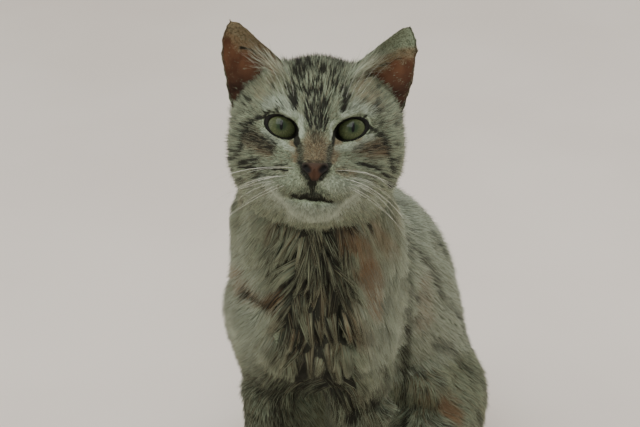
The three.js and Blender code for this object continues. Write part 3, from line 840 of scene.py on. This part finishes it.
# ---------------------------------------------------------------- tufts
class Tufts:
    """Roots drawn over the skin, with the length, width and way each tuft grows."""

    def __init__(self, skin, wanted, number, seed):
        self.number = number
        self.random = random = np.random.default_rng(seed)
        corner = skin.triangles
        a, b, c = (skin.points[corner[:, k]] for k in range(3))
        area = np.linalg.norm(np.cross(b - a, c - a), axis=1) / 2
        weight = area * wanted[corner].mean(1)
        chosen = corner[random.choice(len(corner), number, p=weight / weight.sum())]
        first, second = random.random(number), random.random(number)
        flip = first + second > 1
        first, second = np.where(flip, 1 - first, first), np.where(flip, 1 - second, second)
        shares = np.stack([1 - first - second, first, second], 1)[:, :, None]
        mix = lambda values: (values[chosen].reshape(number, 3, -1) * shares).sum(1)
        self.roots = mix(skin.points)
        self.outer = mix(skin.outer)
        self.normals = unit(mix(skin.normals))
        self.lie = unit(mix(skin.lie))
        self.length, self.width = mix(skin.length)[:, 0] * MM, mix(skin.width)[:, 0] * MM
        self.rise = np.radians(mix(skin.rise)[:, 0])
        self.chest = mix(skin.chest)[:, 0]
        self.part = skin.part[chosen[:, 0]]

    def vary(self, length=0.25, turn=9.0, rise=5.0):
        draw = self.random
        self.length = self.length * (1 + length * draw.normal(size=self.number)).clip(0.45, 1.5)
        angle = np.radians(turn) * draw.normal(size=self.number)
        side = np.cross(self.normals, self.lie)
        self.lie = unit(self.lie * np.cos(angle)[:, None] + side * np.sin(angle)[:, None])
        self.rise = np.clip(self.rise + np.radians(rise) * draw.normal(size=self.number), 0.02, 1.3)

    def tips(self):
        way = self.lie * np.cos(self.rise)[:, None] + self.normals * np.sin(self.rise)[:, None]
        return self.roots + way * self.length[:, None]


def clumped(tufts, every, pull):
    """Tips drawn together to the tip of the nearest leading tuft, so that locks form.

    Gives the tips, how far each tuft is out from the middle of its lock, and a random tone for each lock.
    """
    tips = tufts.tips()
    leaders = np.arange(0, tufts.number, every)
    tree = KDTree(len(leaders))
    for place, root in enumerate(tufts.roots[leaders]):
        tree.insert(Vector(root), place)
    tree.balance()
    nearest = np.array([tree.find(Vector(root))[1] for root in tufts.roots])
    owner = leaders[nearest]
    off = np.linalg.norm(tufts.roots - tufts.roots[owner], axis=1)
    tone = tufts.random.random(len(leaders))[nearest]
    return tips + (tips[owner] - tips) * pull[:, None], off / (np.mean(off) * 1.5), tone


def laid_down(tips, tree, most):
    """Tips drawn in where they would stand further off the body than its coat is deep."""
    hits = [tree.find_nearest(Vector(tip)) for tip in tips]
    feet = np.array([tuple(hit[0]) for hit in hits])
    off = np.array([hit[3] for hit in hits])
    return feet + (tips - feet) * np.minimum(1, most / np.maximum(off, most * 0.01))[:, None]


def strand(rings_at, tips, widths, sides, ups):
    """Joined three-sided spikes: a ring of three points at each level, and one tip."""
    rows = []
    for middle, width in zip(rings_at, widths):
        half = width[:, None] * 0.5
        rows += [middle - sides * half, middle + sides * half, middle + ups * half * 0.7]
    rows.append(tips)
    faces = [(0, 2, 1)]
    last = 3 * (len(rings_at) - 1)
    round_ring = ((0, 1), (1, 2), (2, 0))
    for base in range(0, last, 3):
        for k, after in round_ring:
            faces += [(base + k, base + after, base + 3 + after), (base + k, base + 3 + after, base + 3 + k)]
    faces += [(last + k, last + after, last + 3) for k, after in round_ring]
    corners = np.array(faces)[None] + (np.arange(len(sides)) * len(rows))[:, None, None]
    return np.stack(rows, 1).reshape(-1, 3), corners.reshape(-1, 3), len(rows)


def triangle_mesh(name, points, corners, material):
    mesh = bpy.data.meshes.new(name)
    mesh.vertices.add(len(points))
    mesh.vertices.foreach_set("co", np.ascontiguousarray(points, np.float32).ravel())
    mesh.loops.add(corners.size)
    mesh.loops.foreach_set("vertex_index", np.ascontiguousarray(corners, np.int32).ravel())
    mesh.polygons.add(len(corners))
    mesh.polygons.foreach_set("loop_start", np.arange(0, corners.size, 3, dtype=np.int32))
    mesh.update(calc_edges=True)
    mesh.shade_smooth()
    mesh.materials.append(material)
    return placed(name, mesh)


# ---------------------------------------------------------------- maps
PATCH = 0.003  # size of a tuft's patch on the map of its piece


def map_patches(mesh, places, rings, corners):
    """The OFBake map: each tuft is a small patch at its root's place on the unwrapped skin."""
    across = np.tile([0.0, 1.0, 0.5], rings)
    along = np.repeat(np.arange(rings) / rings, 3)
    shape = np.stack([np.append(across, 0.5), np.append(along, 1.0)], 1) * PATCH
    flat = (places[:, None, :] + shape[None] - PATCH / 2).reshape(-1, 2)
    layer = mesh.uv_layers.new(name="OFBake")
    layer.data.foreach_set("uv", flat[corners.ravel()].astype(np.float32).ravel())


def unwrap_round(points, line):
    """Places of points on a map: angle round a line through places in row mm, and distance along it."""
    line = np.array(line, float) * MM
    lengths = np.linalg.norm(np.diff(line, axis=0), axis=1)
    starts = np.concatenate([[0], np.cumsum(lengths)])
    best = np.full(len(points), 1e9)
    along = np.zeros(len(points))
    off = np.zeros_like(points)
    for k, length in enumerate(lengths):
        way = (line[k + 1] - line[k]) / length
        share = np.clip((points - line[k]) @ way, -1 if k == 0 else 0, 1 if k == len(lengths) - 1 else length)
        away = points - (line[k] + share[:, None] * way)
        distance = np.linalg.norm(away, axis=1)
        closer = distance < best
        best = np.where(closer, distance, best)
        along = np.where(closer, starts[k] + share, along)
        off = np.where(closer[:, None], away, off)
    way = unit(line[-1] - line[0])
    first = unit(np.cross(way, (1.0, 0.02, 0.03)))
    angle = np.arctan2(off @ np.cross(way, first), off @ first) / (2 * np.pi) + 0.5
    return np.stack([angle, (along - along.min()) / np.ptp(along)], 1) * 0.96 + 0.02


def unwrap_ball(points):
    """Places of points on a disc: the way they lie off the head's middle, seen from the front."""
    front = unit(-AXES[:, 1])
    right = unit(np.cross(front, UP))
    way = unit(points - from_head(HEAD_MIDDLE))
    radius = np.sqrt((1 - np.clip(way @ front, -1, 1)) / 2)
    turn = np.arctan2(way @ np.cross(right, front), way @ right)
    return np.stack([np.cos(turn), np.sin(turn)], 1) * radius[:, None] * 0.48 + 0.5


# ---------------------------------------------------------------- pieces of coat
SPINE = [(BODY_LINE, -60, 270), (BODY_LINE, 60, 120), (BODY_LINE, 80, 20)]  # row mm
UPRIGHT = [(BODY_LINE, -70, 150), (BODY_LINE, -70, 0)]
CHEST_COAT_DEPTH = 6.0 * MM
ROOT_DEPTH = 0.25 * MM  # how far roots start under the skin
LOWEST_ROOT, LOWEST_HAIR = 0.2 * MM, 0.3 * MM  # above the floor


def grow(name, tufts, tips, places, shade, tone, bend=0.0, paleness=0.0):
    """One piece of coat from its tufts, their tips and their places on the map."""
    roots = tufts.roots - tufts.normals * ROOT_DEPTH
    roots[:, 2] = np.maximum(roots[:, 2], LOWEST_ROOT)
    rings, widths = [roots], [tufts.width]
    if bend:
        rise = tufts.normals * (tufts.length * bend)[:, None]
        rings.append(tufts.roots + (tips - tufts.roots) * 0.5 + rise)
        widths.append(tufts.width * 0.85)
    side = unit(np.cross(tufts.normals, tufts.lie))
    points, corners, per = strand(rings, tips, widths, side, tufts.normals)
    points[:, 2] = np.maximum(points[:, 2], LOWEST_HAIR)
    piece = triangle_mesh(name, points, corners, coat_material())
    spots = tufts.outer + tufts.lie * (tufts.length * tufts.random.uniform(0.35, 0.6, tufts.number))[:, None]
    dark, warm, pale = marks_and_painted_shade(spots, tufts.part)
    marks = np.stack([highest(dark, shade) * (1 - paleness), warm, np.maximum(pale, paleness)], 1)
    along = np.append(np.repeat(np.arange(len(rings)) / len(rings), 3), 1.0)
    own = np.concatenate([tufts.random.random((tufts.number, 3)), tone[:, None]], 1)
    hold = 1 - 0.8 * PART_IS_EAR[tufts.part]
    marks = np.concatenate([np.repeat(marks, per, 0), np.tile(along, tufts.number)[:, None]], 1)
    add_values(piece.data, "marks", marks)
    add_values(piece.data, "strand", np.repeat(own, per, 0))
    add_values(piece.data, "skin_normal", np.repeat(tufts.normals * hold[:, None], per, 0))
    map_patches(piece.data, places, len(rings), corners)
    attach(piece, "root")


def build_coat(skin):
    part, face = skin.part, to_head(skin.points)
    across, back, _ = (skin.points / MM).T
    furry = ~parts_named("nose")[part]
    for side in EYES:
        furry &= (np.hypot(*opening_place(face, side)) >= 1.08) | (face[:, 1] >= 22)
    front = smoothstep(-face[:, 1], -26, -22)
    head = skin.furry_head & furry
    trunk, neck, fore, hind = (parts_named(name)[part] for name in ("trunk", "neck", "fore", "hind"))
    chest = trunk & (back < -45)
    trunk = trunk & ~chest
    right = across < BODY_LINE
    # Name, where it grows, tufts of four triangles, tufts to a lock, pull of the lock, line to unwrap round.
    pieces = [
        ("coat_face", head * front, 47_000, 16, 0.2, None),
        ("coat_crown", head * (1 - front), 30_000, 16, 0.25, None),
        ("coat_ears", PART_IS_EAR[part] * (1 - 0.93 * skin.bare), 18_000, 12, 0.2, None),
        ("coat_neck", neck, 47_000, 50, 0.3, None),
        ("coat_chest", chest, 48_500, 230, 0.25, SPINE),
        ("coat_back_right", trunk & right, 42_000, 16, 0.25, SPINE),
        ("coat_back_left", trunk & ~right, 42_000, 16, 0.25, SPINE),
        ("coat_forelegs", fore, 28_000, 16, 0.2, UPRIGHT),
        ("coat_hind_right", hind & right, 26_000, 16, 0.25, UPRIGHT),
        ("coat_hind_left", hind & ~right, 26_000, 16, 0.25, UPRIGHT),
        ("coat_tail", PART_IS_TAIL[part], 20_000, 14, 0.2, SPINE),
    ]
    for seed, (name, wanted, number, every, pull, line) in enumerate(pieces, 100):
        tufts = Tufts(skin, wanted, number, seed)
        tufts.vary()
        tips, edge, tone = clumped(tufts, every, pull + 0.55 * tufts.chest)
        if name in ("coat_chest", "coat_neck"):
            tips = laid_down(tips, skin.tree, CHEST_COAT_DEPTH)
        places = unwrap_round(tufts.roots, line) if line else unwrap_ball(tufts.roots)
        # Tufts at the edges of the chest's locks are darkened: partly dark undercoat, partly painted shade in
        # the gaps.
        grow(name, tufts, tips, places, 0.9 * tufts.chest * smoothstep(edge, 0.55, 1.1), tone)


WISP_COUNT, WISP_WIDTH, WISP_FORWARD = 300, 0.17 * MM, 3.5 * MM
WISP_BEND, WISP_PALENESS = 0.12, 0.45
WISP_ACROSS, WISP_HEIGHT = (15, 23, 29), (25, 32, 42)  # head mm: the line that they grow along


class Wisps:
    """Long pale hairs that stand across each ear from its inner root."""

    def __init__(self, skin):
        self.random = random = np.random.default_rng(77)
        sign = np.where(np.arange(WISP_COUNT) % 2, 1, -1)
        share = random.random(WISP_COUNT)
        across = np.interp(share, (0, 0.5, 1), WISP_ACROSS) + random.normal(0, 1.5, WISP_COUNT)
        height = np.interp(share, (0, 0.5, 1), WISP_HEIGHT) + random.normal(0, 1.2, WISP_COUNT)
        hits = met_from_front(skin, sign * across, height, 40.0)
        sign = sign[[place is not None for place, _ in hits]]
        self.roots, self.normals = (np.array([tuple(hit[k]) for hit in hits if hit[0]]) for k in (0, 1))
        self.outer = self.roots
        self.number = number = len(sign)
        slope = np.radians(random.normal(44, 14, number))
        self.lie = unit(np.stack([sign * np.cos(slope), np.zeros(number), np.sin(slope)], 1) @ AXES.T)
        self.length = random.uniform(12, 24, number) * MM
        self.width = np.full(number, WISP_WIDTH)
        self.part = np.where(sign > 0, PARTS.index("ear_left"), PARTS.index("ear_right"))


def build_ear_wisps(skin):
    wisps = Wisps(skin)
    tips = wisps.roots + wisps.lie * wisps.length[:, None] - AXES[:, 1] * WISP_FORWARD
    tone = 0.6 + 0.4 * wisps.random.random(wisps.number)
    shade = np.zeros(wisps.number)
    grow("ear_wisps", wisps, tips, unwrap_ball(wisps.roots), shade, tone, WISP_BEND, WISP_PALENESS)


# ---------------------------------------------------------------- eyes, lids and nose
GAZE = {"right": (0.2, 0.9), "left": (0.6, 1.0)}  # mm the pupil sits across and above the ball's middle
IRIS_RADIUS = 9.6
RIM_STEPS, RIM_ROWS = 96, 9  # points round a lid's rim, and rows from its outer to its inner edge
RIM_THICKNESS = 0.4 * MM
NOSE_VOXEL = 0.45 * MM


def build_eye(side):
    """An eyeball that knows each point's place off the middle of its pupil."""
    name = f"eyeball_{side}"
    mesh = bpy.data.meshes.new(name)
    with edited(mesh) as work:
        bmesh.ops.create_uvsphere(work, u_segments=64, v_segments=48, radius=EYE_RADIUS - 0.1)
    across, up = GAZE[side]
    ball = points_of(mesh)[:, [0, 2, 1]] * [1, -1, 1]
    move_points(mesh, from_head(ball + to_head(EYES[side])))
    add_values(mesh, "gaze", np.stack([ball[:, 0] - across, ball[:, 2] - up, ball[:, 1]], 1))
    with edited(mesh) as work:
        bmesh.ops.recalc_face_normals(work, faces=work.faces)
    mesh.shade_smooth()
    mesh.materials.append(eye_material())
    piece = placed(name, mesh)
    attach(piece, "root")
    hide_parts(f"eye_{side}")


def rim_curves(side):
    """Outer and inner edge of a dark lid rim, in the face plane from the ball's middle."""
    turn = np.linspace(0, 2 * np.pi, RIM_STEPS, endpoint=False)
    inner_up = 5.3 + 0.3 * (np.sin(turn) > 0)
    inner = np.stack([8.0 * np.cos(turn) - 0.5, inner_up * np.sin(turn) - 0.1], 1)
    outer = np.stack([10.9 * np.cos(turn), 6.7 * np.sin(turn)], 1)
    corner = np.exp(-((turn - np.pi - 0.25) / 0.42) ** 2)
    outer = outer + corner[:, None] * np.array([-1.6, -2.4])
    cos, sin = math.cos(OPENING_SLANT), math.sin(OPENING_SLANT)
    return [(edge @ np.array([[cos, sin], [-sin, cos]])) * [SIGN[side], 1.0] for edge in (outer, inner)]


def build_rim(side, skin):
    """The dark rim of both lids, from the skin in to the eyeball."""
    outer, inner = (edge + to_head(EYES[side])[[0, 2]] for edge in rim_curves(side))
    hits = met_from_front(skin, *outer.T, 30.0)
    depths = np.array([to_head(np.array(place)[None])[0, 1] for place, _ in hits])
    kernel = np.array([1, 2, 3, 2, 1]) / 9
    depths = sum(k * np.roll(depths, s) for k, s in zip(kernel, (-2, -1, 0, 1, 2)))
    ball = ball_front(np.stack([inner[:, 0], depths, inner[:, 1]], 1), side)
    points = []
    for share in np.arange(RIM_ROWS) / (RIM_ROWS - 1):
        flat = outer + (inner - outer) * share
        swell = math.sin(math.pi * share ** 0.8)
        depth = depths + 0.5 + (ball + 0.25 - depths - 0.5) * smoothstep(share, 0, 1) - swell
        points.append(np.stack([flat[:, 0], depth, flat[:, 1]], 1))
    faces = [face[::SIGN[side]] for face in ring_faces(RIM_ROWS, RIM_STEPS)]
    piece = mesh_object(f"lid_rim_{side}", from_head(np.concatenate(points)), faces, rim_material())
    thick = piece.modifiers.new("thick", "SOLIDIFY")
    thick.thickness = RIM_THICKNESS
    thick.offset = -1
    settle_modifiers(piece)
    piece.data.shade_smooth()
    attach(piece, "root")


def build_nose():
    """The leather of the nose, domed and pressed in at the nostrils."""
    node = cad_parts["nose"].data
    piece = remeshed("nose_leather", points_of(node), triangles_of(node), NOSE_VOXEL)
    mesh = piece.data
    face = to_head(Web(mesh).fair(points_of(mesh), 14))
    flat = face[:, [0, 2]]
    facing = face[:, 1] < np.median(face[:, 1])
    nostrils = np.zeros(len(face))
    for sign in SIGN.values():
        hole = nearness(flat, [(sign * 3.4, -24.2), (sign * 4.6, -22.9)], 1.25)
        wing = nearness(flat, [(sign * 4.8, -25.2), (sign * 6.4, -23.4)], 0.8, 0.9)
        face[:, 1] += facing * (1.6 * hole + 0.5 * wing)
        # The nostril mask marks where the holes get painted shade.
        nostrils = highest(nostrils, nearness(flat, [(sign * 3.6, -24.4), (sign * 5.4, -22.6)], 1.5, 0.8))
    face[:, 1] += facing * 0.7 * nearness(flat, [(-0.2, -24.5), (-0.3, -31)], 0.5, 0.9)
    move_points(mesh, from_head(face))
    add_values(mesh, "place", face)
    add_values(mesh, "nostril_shade", np.repeat(nostrils[:, None], 4, 1))
    mesh.shade_smooth()
    mesh.materials.append(nose_material())
    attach(piece, "root")
    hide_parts("nose")


# ---------------------------------------------------------------- whiskers
WHISKER_RADIUS, BROW_HAIR_RADIUS = 0.07 * MM, 0.05 * MM
WHISKER_ROWS = (-24.0, -27.5, -31.0)  # head mm up each pad
WHISKER_LENGTH, BROW_HAIR_LENGTH = 60, 34  # mm, of the ones nearest to the nose and of the shortest
RIGHT_SIDE_LONGER = 1.2
HAIR_SIDES, HAIR_STEPS = 6, 14


def hair_tube(path, radius):
    """A tapered hair along a path of points: rings of points and their faces."""
    ways = unit(np.gradient(path, axis=0))
    across = unit(np.cross(ways, UP + 0.01))
    over = np.cross(ways, across)
    turn = (2 * math.pi * np.arange(HAIR_SIDES) / HAIR_SIDES)[:, None]
    thin = radius * (1 - 0.93 * (np.arange(HAIR_STEPS) / (HAIR_STEPS - 1)) ** 1.3)[:, None, None]
    rings = path[:, None] + thin * (np.cos(turn) * across[:, None] + np.sin(turn) * over[:, None])
    ends = np.arange(HAIR_SIDES)[::-1], np.arange(HAIR_SIDES) + (HAIR_STEPS - 1) * HAIR_SIDES
    return rings.reshape(-1, 3), ring_faces(HAIR_STEPS, HAIR_SIDES) + [tuple(end) for end in ends]


def build_whiskers(skin):
    """Rows of whiskers on both pads, and a few long hairs over each eye."""
    random = np.random.default_rng(5)
    points, faces = [], []

    def add(across, height, way, droop, length, radius):
        place = met_from_front(skin, [across], [height], 60.0)[0][0]
        root = (across, to_head(np.array(place)[None])[0, 1] + 0.6, height)
        share = np.linspace(0, 1, HAIR_STEPS)[:, None]
        path = np.array(root) + unit(np.array(way)) * length * share + np.array(droop) * length * share ** 2
        some, more = hair_tube(from_head(path), radius)
        faces.extend([tuple(len(points) + k for k in face) for face in more])
        points.extend(some)

    for sign in SIGN.values():
        for row, height in enumerate(WHISKER_ROWS):
            for column in range(4):
                out = 11 + 3.8 * column + random.normal(0, 0.5)
                long = WHISKER_LENGTH - 6 * column + 4 * random.normal()
                way = (sign, 0.18 + 0.1 * column, 0.1 - 0.16 * row + 0.06 * random.normal())
                droop = (-0.12 * sign, 0.18, -0.42 - 0.08 * sign + 0.08 * random.normal())
                up = height + random.normal(0, 0.4)
                add(sign * out, up, way, droop, long * (RIGHT_SIDE_LONGER if sign < 0 else 1), WHISKER_RADIUS)
        for k in range(5):
            way, droop = (sign * (0.1 + 0.1 * k), -0.2, 1.0), (sign * 0.25, 0.5, -0.1)
            long = BROW_HAIR_LENGTH + 6 * random.random()
            add(sign * (13 + 2.6 * k), 14 + 0.8 * k, way, droop, long, BROW_HAIR_RADIUS)
    piece = mesh_object("whiskers", points, faces, whisker_material())
    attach(piece, "root")


# ---------------------------------------------------------------- paints
def linear(red, green, blue):
    """Paint colour from 0-255 screen values."""
    return tuple((v / 255 / 12.92) if v / 255 <= 0.04045 else ((v / 255 + 0.055) / 1.055) ** 2.4
                 for v in (red, green, blue)) + (1.0,)


# Colours of the coat at the root and at the tip of a hair.
GROUND = linear(78, 85, 65), linear(176, 188, 158)
DARK = linear(27, 29, 21), linear(44, 43, 31)
WARM = linear(84, 66, 46), linear(156, 124, 88)
PALE = linear(124, 132, 112), linear(204, 214, 194)
# Two paints that lie in soft patches. The leather's two pairs are its painted light, higher up the ear, and its
# painted shade, lower down.
LIT_LEATHER = linear(84, 55, 38), linear(106, 72, 51)
SHADED_LEATHER = linear(46, 32, 25), linear(68, 46, 34)
RIM_PAINT = linear(12, 12, 10), linear(24, 22, 18)
WHISKER_PAINT = linear(190, 190, 174), linear(220, 220, 206)
FLOOR_PAINT = linear(226, 216, 206), linear(231, 222, 212)
IRIS_FIBRES = linear(58, 66, 42), linear(84, 90, 60)
# Single paints of the eyes and the nose.
IRIS_MIDDLE, IRIS_EDGE, PUPIL = linear(36, 50, 30), linear(18, 20, 13), (0.002, 0.002, 0.002, 1)
NOSE_MIDDLE, NOSE_SIDE, NOSE_FOOT = linear(64, 43, 29), linear(34, 29, 24), linear(30, 25, 22)
# The nostril paint is painted shade in the holes.
NOSE_TOP, NOSTRIL_SHADE = linear(64, 54, 43), linear(12, 10, 8)
NORMAL_FROM_SKIN = 0.7  # how far a hair is lit as the skin under it would be


# ---------------------------------------------------------------- shader nodes
def wire(tree, node, values):
    """Joins a node's inputs, found by place or name, to sockets, or sets them to plain values."""
    for key, value in values.items():
        if isinstance(value, bpy.types.NodeSocket):
            tree.links.new(value, node.inputs[key])
        else:
            node.inputs[key].default_value = value


def add_node(tree, kind, values={}, **settings):
    """Adds a shader node and gives its outputs."""
    node = tree.nodes.new("ShaderNode" + kind)
    for key, value in settings.items():
        setattr(node, key, value)
    wire(tree, node, values)
    return node.outputs


def mix_colour(tree, share, first, second, blend="MIX"):
    return add_node(tree, "Mix", {0: share, 6: first, 7: second}, data_type="RGBA", blend_type=blend)[2]


def maths(tree, operation, *values):
    return add_node(tree, "Math", dict(enumerate(values)), operation=operation)[0]


def distance(tree, x, z):
    """How far a point is from the middle, by its places across and up."""
    return maths(tree, "SQRT", maths(tree, "ADD", maths(tree, "POWER", x, 2.0), maths(tree, "POWER", z, 2.0)))


def between(tree, value, low, high, out_low=0.0, out_high=1.0):
    """A value moved smoothly from one range to another."""
    values = dict(enumerate((value, low, high, out_low, out_high)))
    return add_node(tree, "MapRange", values, interpolation_type="SMOOTHSTEP")[0]


def noise(tree, scale, detail=3.0, vector=None):
    if vector is None:
        vector = add_node(tree, "TexCoord")["Object"]
    return add_node(tree, "TexNoise", {"Scale": scale, "Detail": detail, "Vector": vector})[0]


def attribute(tree, name):
    return add_node(tree, "Attribute", attribute_name=name)


def apart(tree, kind, value):
    """The three numbers of a colour or a vector."""
    return add_node(tree, "Separate" + kind, {0: value})


def relief(tree, height, depth, strength=1.0):
    """A normal over fine relief, `depth` metres deep."""
    return add_node(tree, "Bump", {"Height": height, "Distance": depth, "Strength": strength})[0]


def new_group(name, result, **inputs):
    """A group of nodes with its input sockets by name, each a number or a colour, and one output."""
    group = bpy.data.node_groups.new(name, "ShaderNodeTree")
    for socket, value in inputs.items():
        kind = "NodeSocketFloat" if isinstance(value, float) else "NodeSocketColor"
        group.interface.new_socket(name=socket, in_out="INPUT", socket_type=kind).default_value = value
    group.interface.new_socket(name=result[0], in_out="OUTPUT", socket_type=result[1])
    return group, group.nodes.new("NodeGroupInput").outputs, group.nodes.new("NodeGroupOutput")


def use_group(tree, group, **values):
    return add_node(tree, "Group", values, node_tree=group)[0]


@cache
def fine_grain():
    """A fine even grain as one value, shared by the skin, the lid rims and the nose."""
    group, given, result = new_group("fine_grain", ("Height", "NodeSocketFloat"), Scale=1000.0)
    wire(group, result, {"Height": noise(group, given["Scale"])})
    return group


@cache
def mottled_colour():
    """Two paints in soft patches, shared by the leather, lid rims, whiskers and floor."""
    group, given, result = new_group("mottled_colour", ("Colour", "NodeSocketColor"),
                                     Scale=100.0, First=(0, 0, 0, 1), Second=(1, 1, 1, 1))
    patches = between(group, noise(group, given["Scale"]), 0.35, 0.65)
    wire(group, result, {"Colour": mix_colour(group, patches, given["First"], given["Second"])})
    return group


def grain(tree, scale):
    return use_group(tree, fine_grain(), Scale=scale)


def mottled(tree, scale, paints):
    return use_group(tree, mottled_colour(), Scale=scale, First=paints[0], Second=paints[1])


@cache
def coat_colours():
    """Marks, the place along the hair and its own random values give the hair's colour."""
    group, given, result = new_group("coat_colours", ("Colour", "NodeSocketColor"), Marks=(0, 0, 0, 1),
                                     Along=0.5, Own=(0.5, 0.5, 0.5, 1), Tone=0.5)
    marks, own = apart(group, "Color", given["Marks"]), apart(group, "Color", given["Own"])
    along = given["Along"]
    colour = mix_colour(group, along, *GROUND)
    ticked = maths(group, "MULTIPLY", between(group, own[0], 0.72, 0.86), 0.75)
    colour = mix_colour(group, ticked, colour, DARK[1])
    golden = maths(group, "MULTIPLY", between(group, own[1], 0.55, 0.9), 0.25)
    colour = mix_colour(group, golden, colour, WARM[1])
    jitter = maths(group, "MULTIPLY", maths(group, "SUBTRACT", own[2], 0.5), 0.5)
    for mark, low, high, paints in ((1, 0.15, 0.85, WARM), (2, 0.15, 0.85, PALE), (0, 0.2, 0.75, DARK)):
        share = between(group, maths(group, "ADD", marks[mark], jitter), low, high)
        colour = mix_colour(group, share, colour, mix_colour(group, along, *paints))
    bright = between(group, given["Tone"], 0.0, 1.0, 0.82, 1.14)
    grey = add_node(group, "CombineColor", {0: bright, 1: bright, 2: bright})[0]
    wire(group, result, {"Colour": mix_colour(group, 1.0, colour, grey, "MULTIPLY")})
    return group


# ---------------------------------------------------------------- materials
def new_material(name, roughness, specular):
    material = bpy.data.materials.new(name)
    material.use_nodes = True
    shader = material.node_tree.nodes["Principled BSDF"]
    wire(material.node_tree, shader, {"Roughness": roughness, "Specular IOR Level": specular})
    return material, material.node_tree, shader


@cache
def coat_material():
    material, tree, shader = new_material("tabby_coat", 0.62, 0.22)
    marks, own = attribute(tree, "marks"), attribute(tree, "strand")
    colour = use_group(tree, coat_colours(), Marks=marks["Color"], Along=marks["Alpha"],
                       Own=own["Color"], Tone=own["Alpha"])
    hair = add_node(tree, "NewGeometry")["Normal"]
    skin_normal = attribute(tree, "skin_normal")["Vector"]
    blend = add_node(tree, "Mix", {0: NORMAL_FROM_SKIN, 4: hair, 5: skin_normal}, data_type="VECTOR")[1]
    normal = add_node(tree, "VectorMath", {0: blend}, operation="NORMALIZE")[0]
    wire(tree, shader, {"Base Color": colour, "Normal": normal})
    return material


def skin_material():
    material, tree, shader = new_material("skin_under_coat", 0.75, 0.2)
    along = between(tree, grain(tree, 900), 0.3, 0.7, 0.0, 0.5)
    furry = use_group(tree, coat_colours(), Marks=attribute(tree, "marks")["Color"], Along=along)
    bare = apart(tree, "Color", attribute(tree, "bare")["Color"])
    # bare[1] mixes the ear leather from painted shade low on the ear to painted light higher up.
    leather = mix_colour(tree, bare[1], mottled(tree, 140, SHADED_LEATHER), mottled(tree, 90, LIT_LEATHER))
    wire(tree, shader, {"Base Color": mix_colour(tree, bare[0], furry, leather),
                        "Normal": relief(tree, grain(tree, 1400), 0.0006, 0.5)})
    return material


@cache
def eye_material():
    material, tree, shader = new_material("eye_iris", 0.4, 0.05)
    wire(tree, shader, {"Coat Weight": 1.0, "Coat Roughness": 0.02, "Coat IOR": 1.24})
    x, z, _ = apart(tree, "XYZ", attribute(tree, "gaze")["Vector"])
    radius = distance(tree, x, z)
    turn = maths(tree, "MULTIPLY", maths(tree, "ARCTAN2", z, x), 9.0)
    place = add_node(tree, "CombineXYZ", {0: turn, 1: maths(tree, "MULTIPLY", radius, 0.35)})[0]
    fibres = noise(tree, 1.6, 4, place)
    outer = mix_colour(tree, between(tree, fibres, 0.35, 0.7), *IRIS_FIBRES)
    near = between(tree, maths(tree, "ADD", radius, maths(tree, "MULTIPLY", fibres, 1.6)), 2.6, 5.6)
    colour = mix_colour(tree, near, IRIS_MIDDLE, outer)
    colour = mix_colour(tree, between(tree, radius, 7.0, IRIS_RADIUS), colour, IRIS_EDGE)
    slit = distance(tree, maths(tree, "DIVIDE", x, 0.95), maths(tree, "DIVIDE", z, 2.9))
    wire(tree, shader, {"Base Color": mix_colour(tree, between(tree, slit, 0.86, 1.12), PUPIL, colour)})
    return material


def nose_material():
    material, tree, shader = new_material("nose_leather", 0.6, 0.2)
    x, _, z = apart(tree, "XYZ", attribute(tree, "place")["Vector"])
    rough = maths(tree, "ADD", maths(tree, "ABSOLUTE", x), maths(tree, "MULTIPLY", grain(tree, 700), 1.2))
    colour = mix_colour(tree, between(tree, rough, 2.4, 5.4), NOSE_MIDDLE, NOSE_SIDE)
    colour = mix_colour(tree, between(tree, z, -32.0, -27.5), NOSE_FOOT, colour)
    colour = mix_colour(tree, between(tree, z, -23.5, -19.5, 0.0, 0.8), colour, NOSE_TOP)
    # Painted shade: the nostril holes near black.
    colour = mix_colour(tree, attribute(tree, "nostril_shade")["Fac"], colour, NOSTRIL_SHADE)
    coords = add_node(tree, "TexCoord")["Object"]
    cells = add_node(tree, "TexVoronoi", {"Scale": 1500, "Vector": coords})["Distance"]
    wire(tree, shader, {"Base Color": colour, "Normal": relief(tree, cells, 0.0003, 0.6)})
    return material


def plain_material(name, roughness, specular, scale, paints):
    """A material of two paints in soft patches."""
    material, tree, shader = new_material(name, roughness, specular)
    wire(tree, shader, {"Base Color": mottled(tree, scale, paints)})
    return material, tree, shader


@cache
def rim_material():
    material, tree, shader = plain_material("lid_rim", 0.5, 0.12, 500, RIM_PAINT)
    wire(tree, shader, {"Normal": relief(tree, grain(tree, 2500), 0.0003)})
    return material


def whisker_material():
    return plain_material("whisker_hair", 0.35, 0.5, 200, WHISKER_PAINT)[0]


def floor_paint():
    return plain_material("floor_paint", 0.85, 0.2, 3, FLOOR_PAINT)[0]


# ---------------------------------------------------------------- making
build_camera()
build_studio()
skin = build_skin()
for side in EYES:
    build_eye(side)
    build_rim(side, skin)
build_nose()
build_whiskers(skin)
build_coat(skin)
build_ear_wisps(skin)
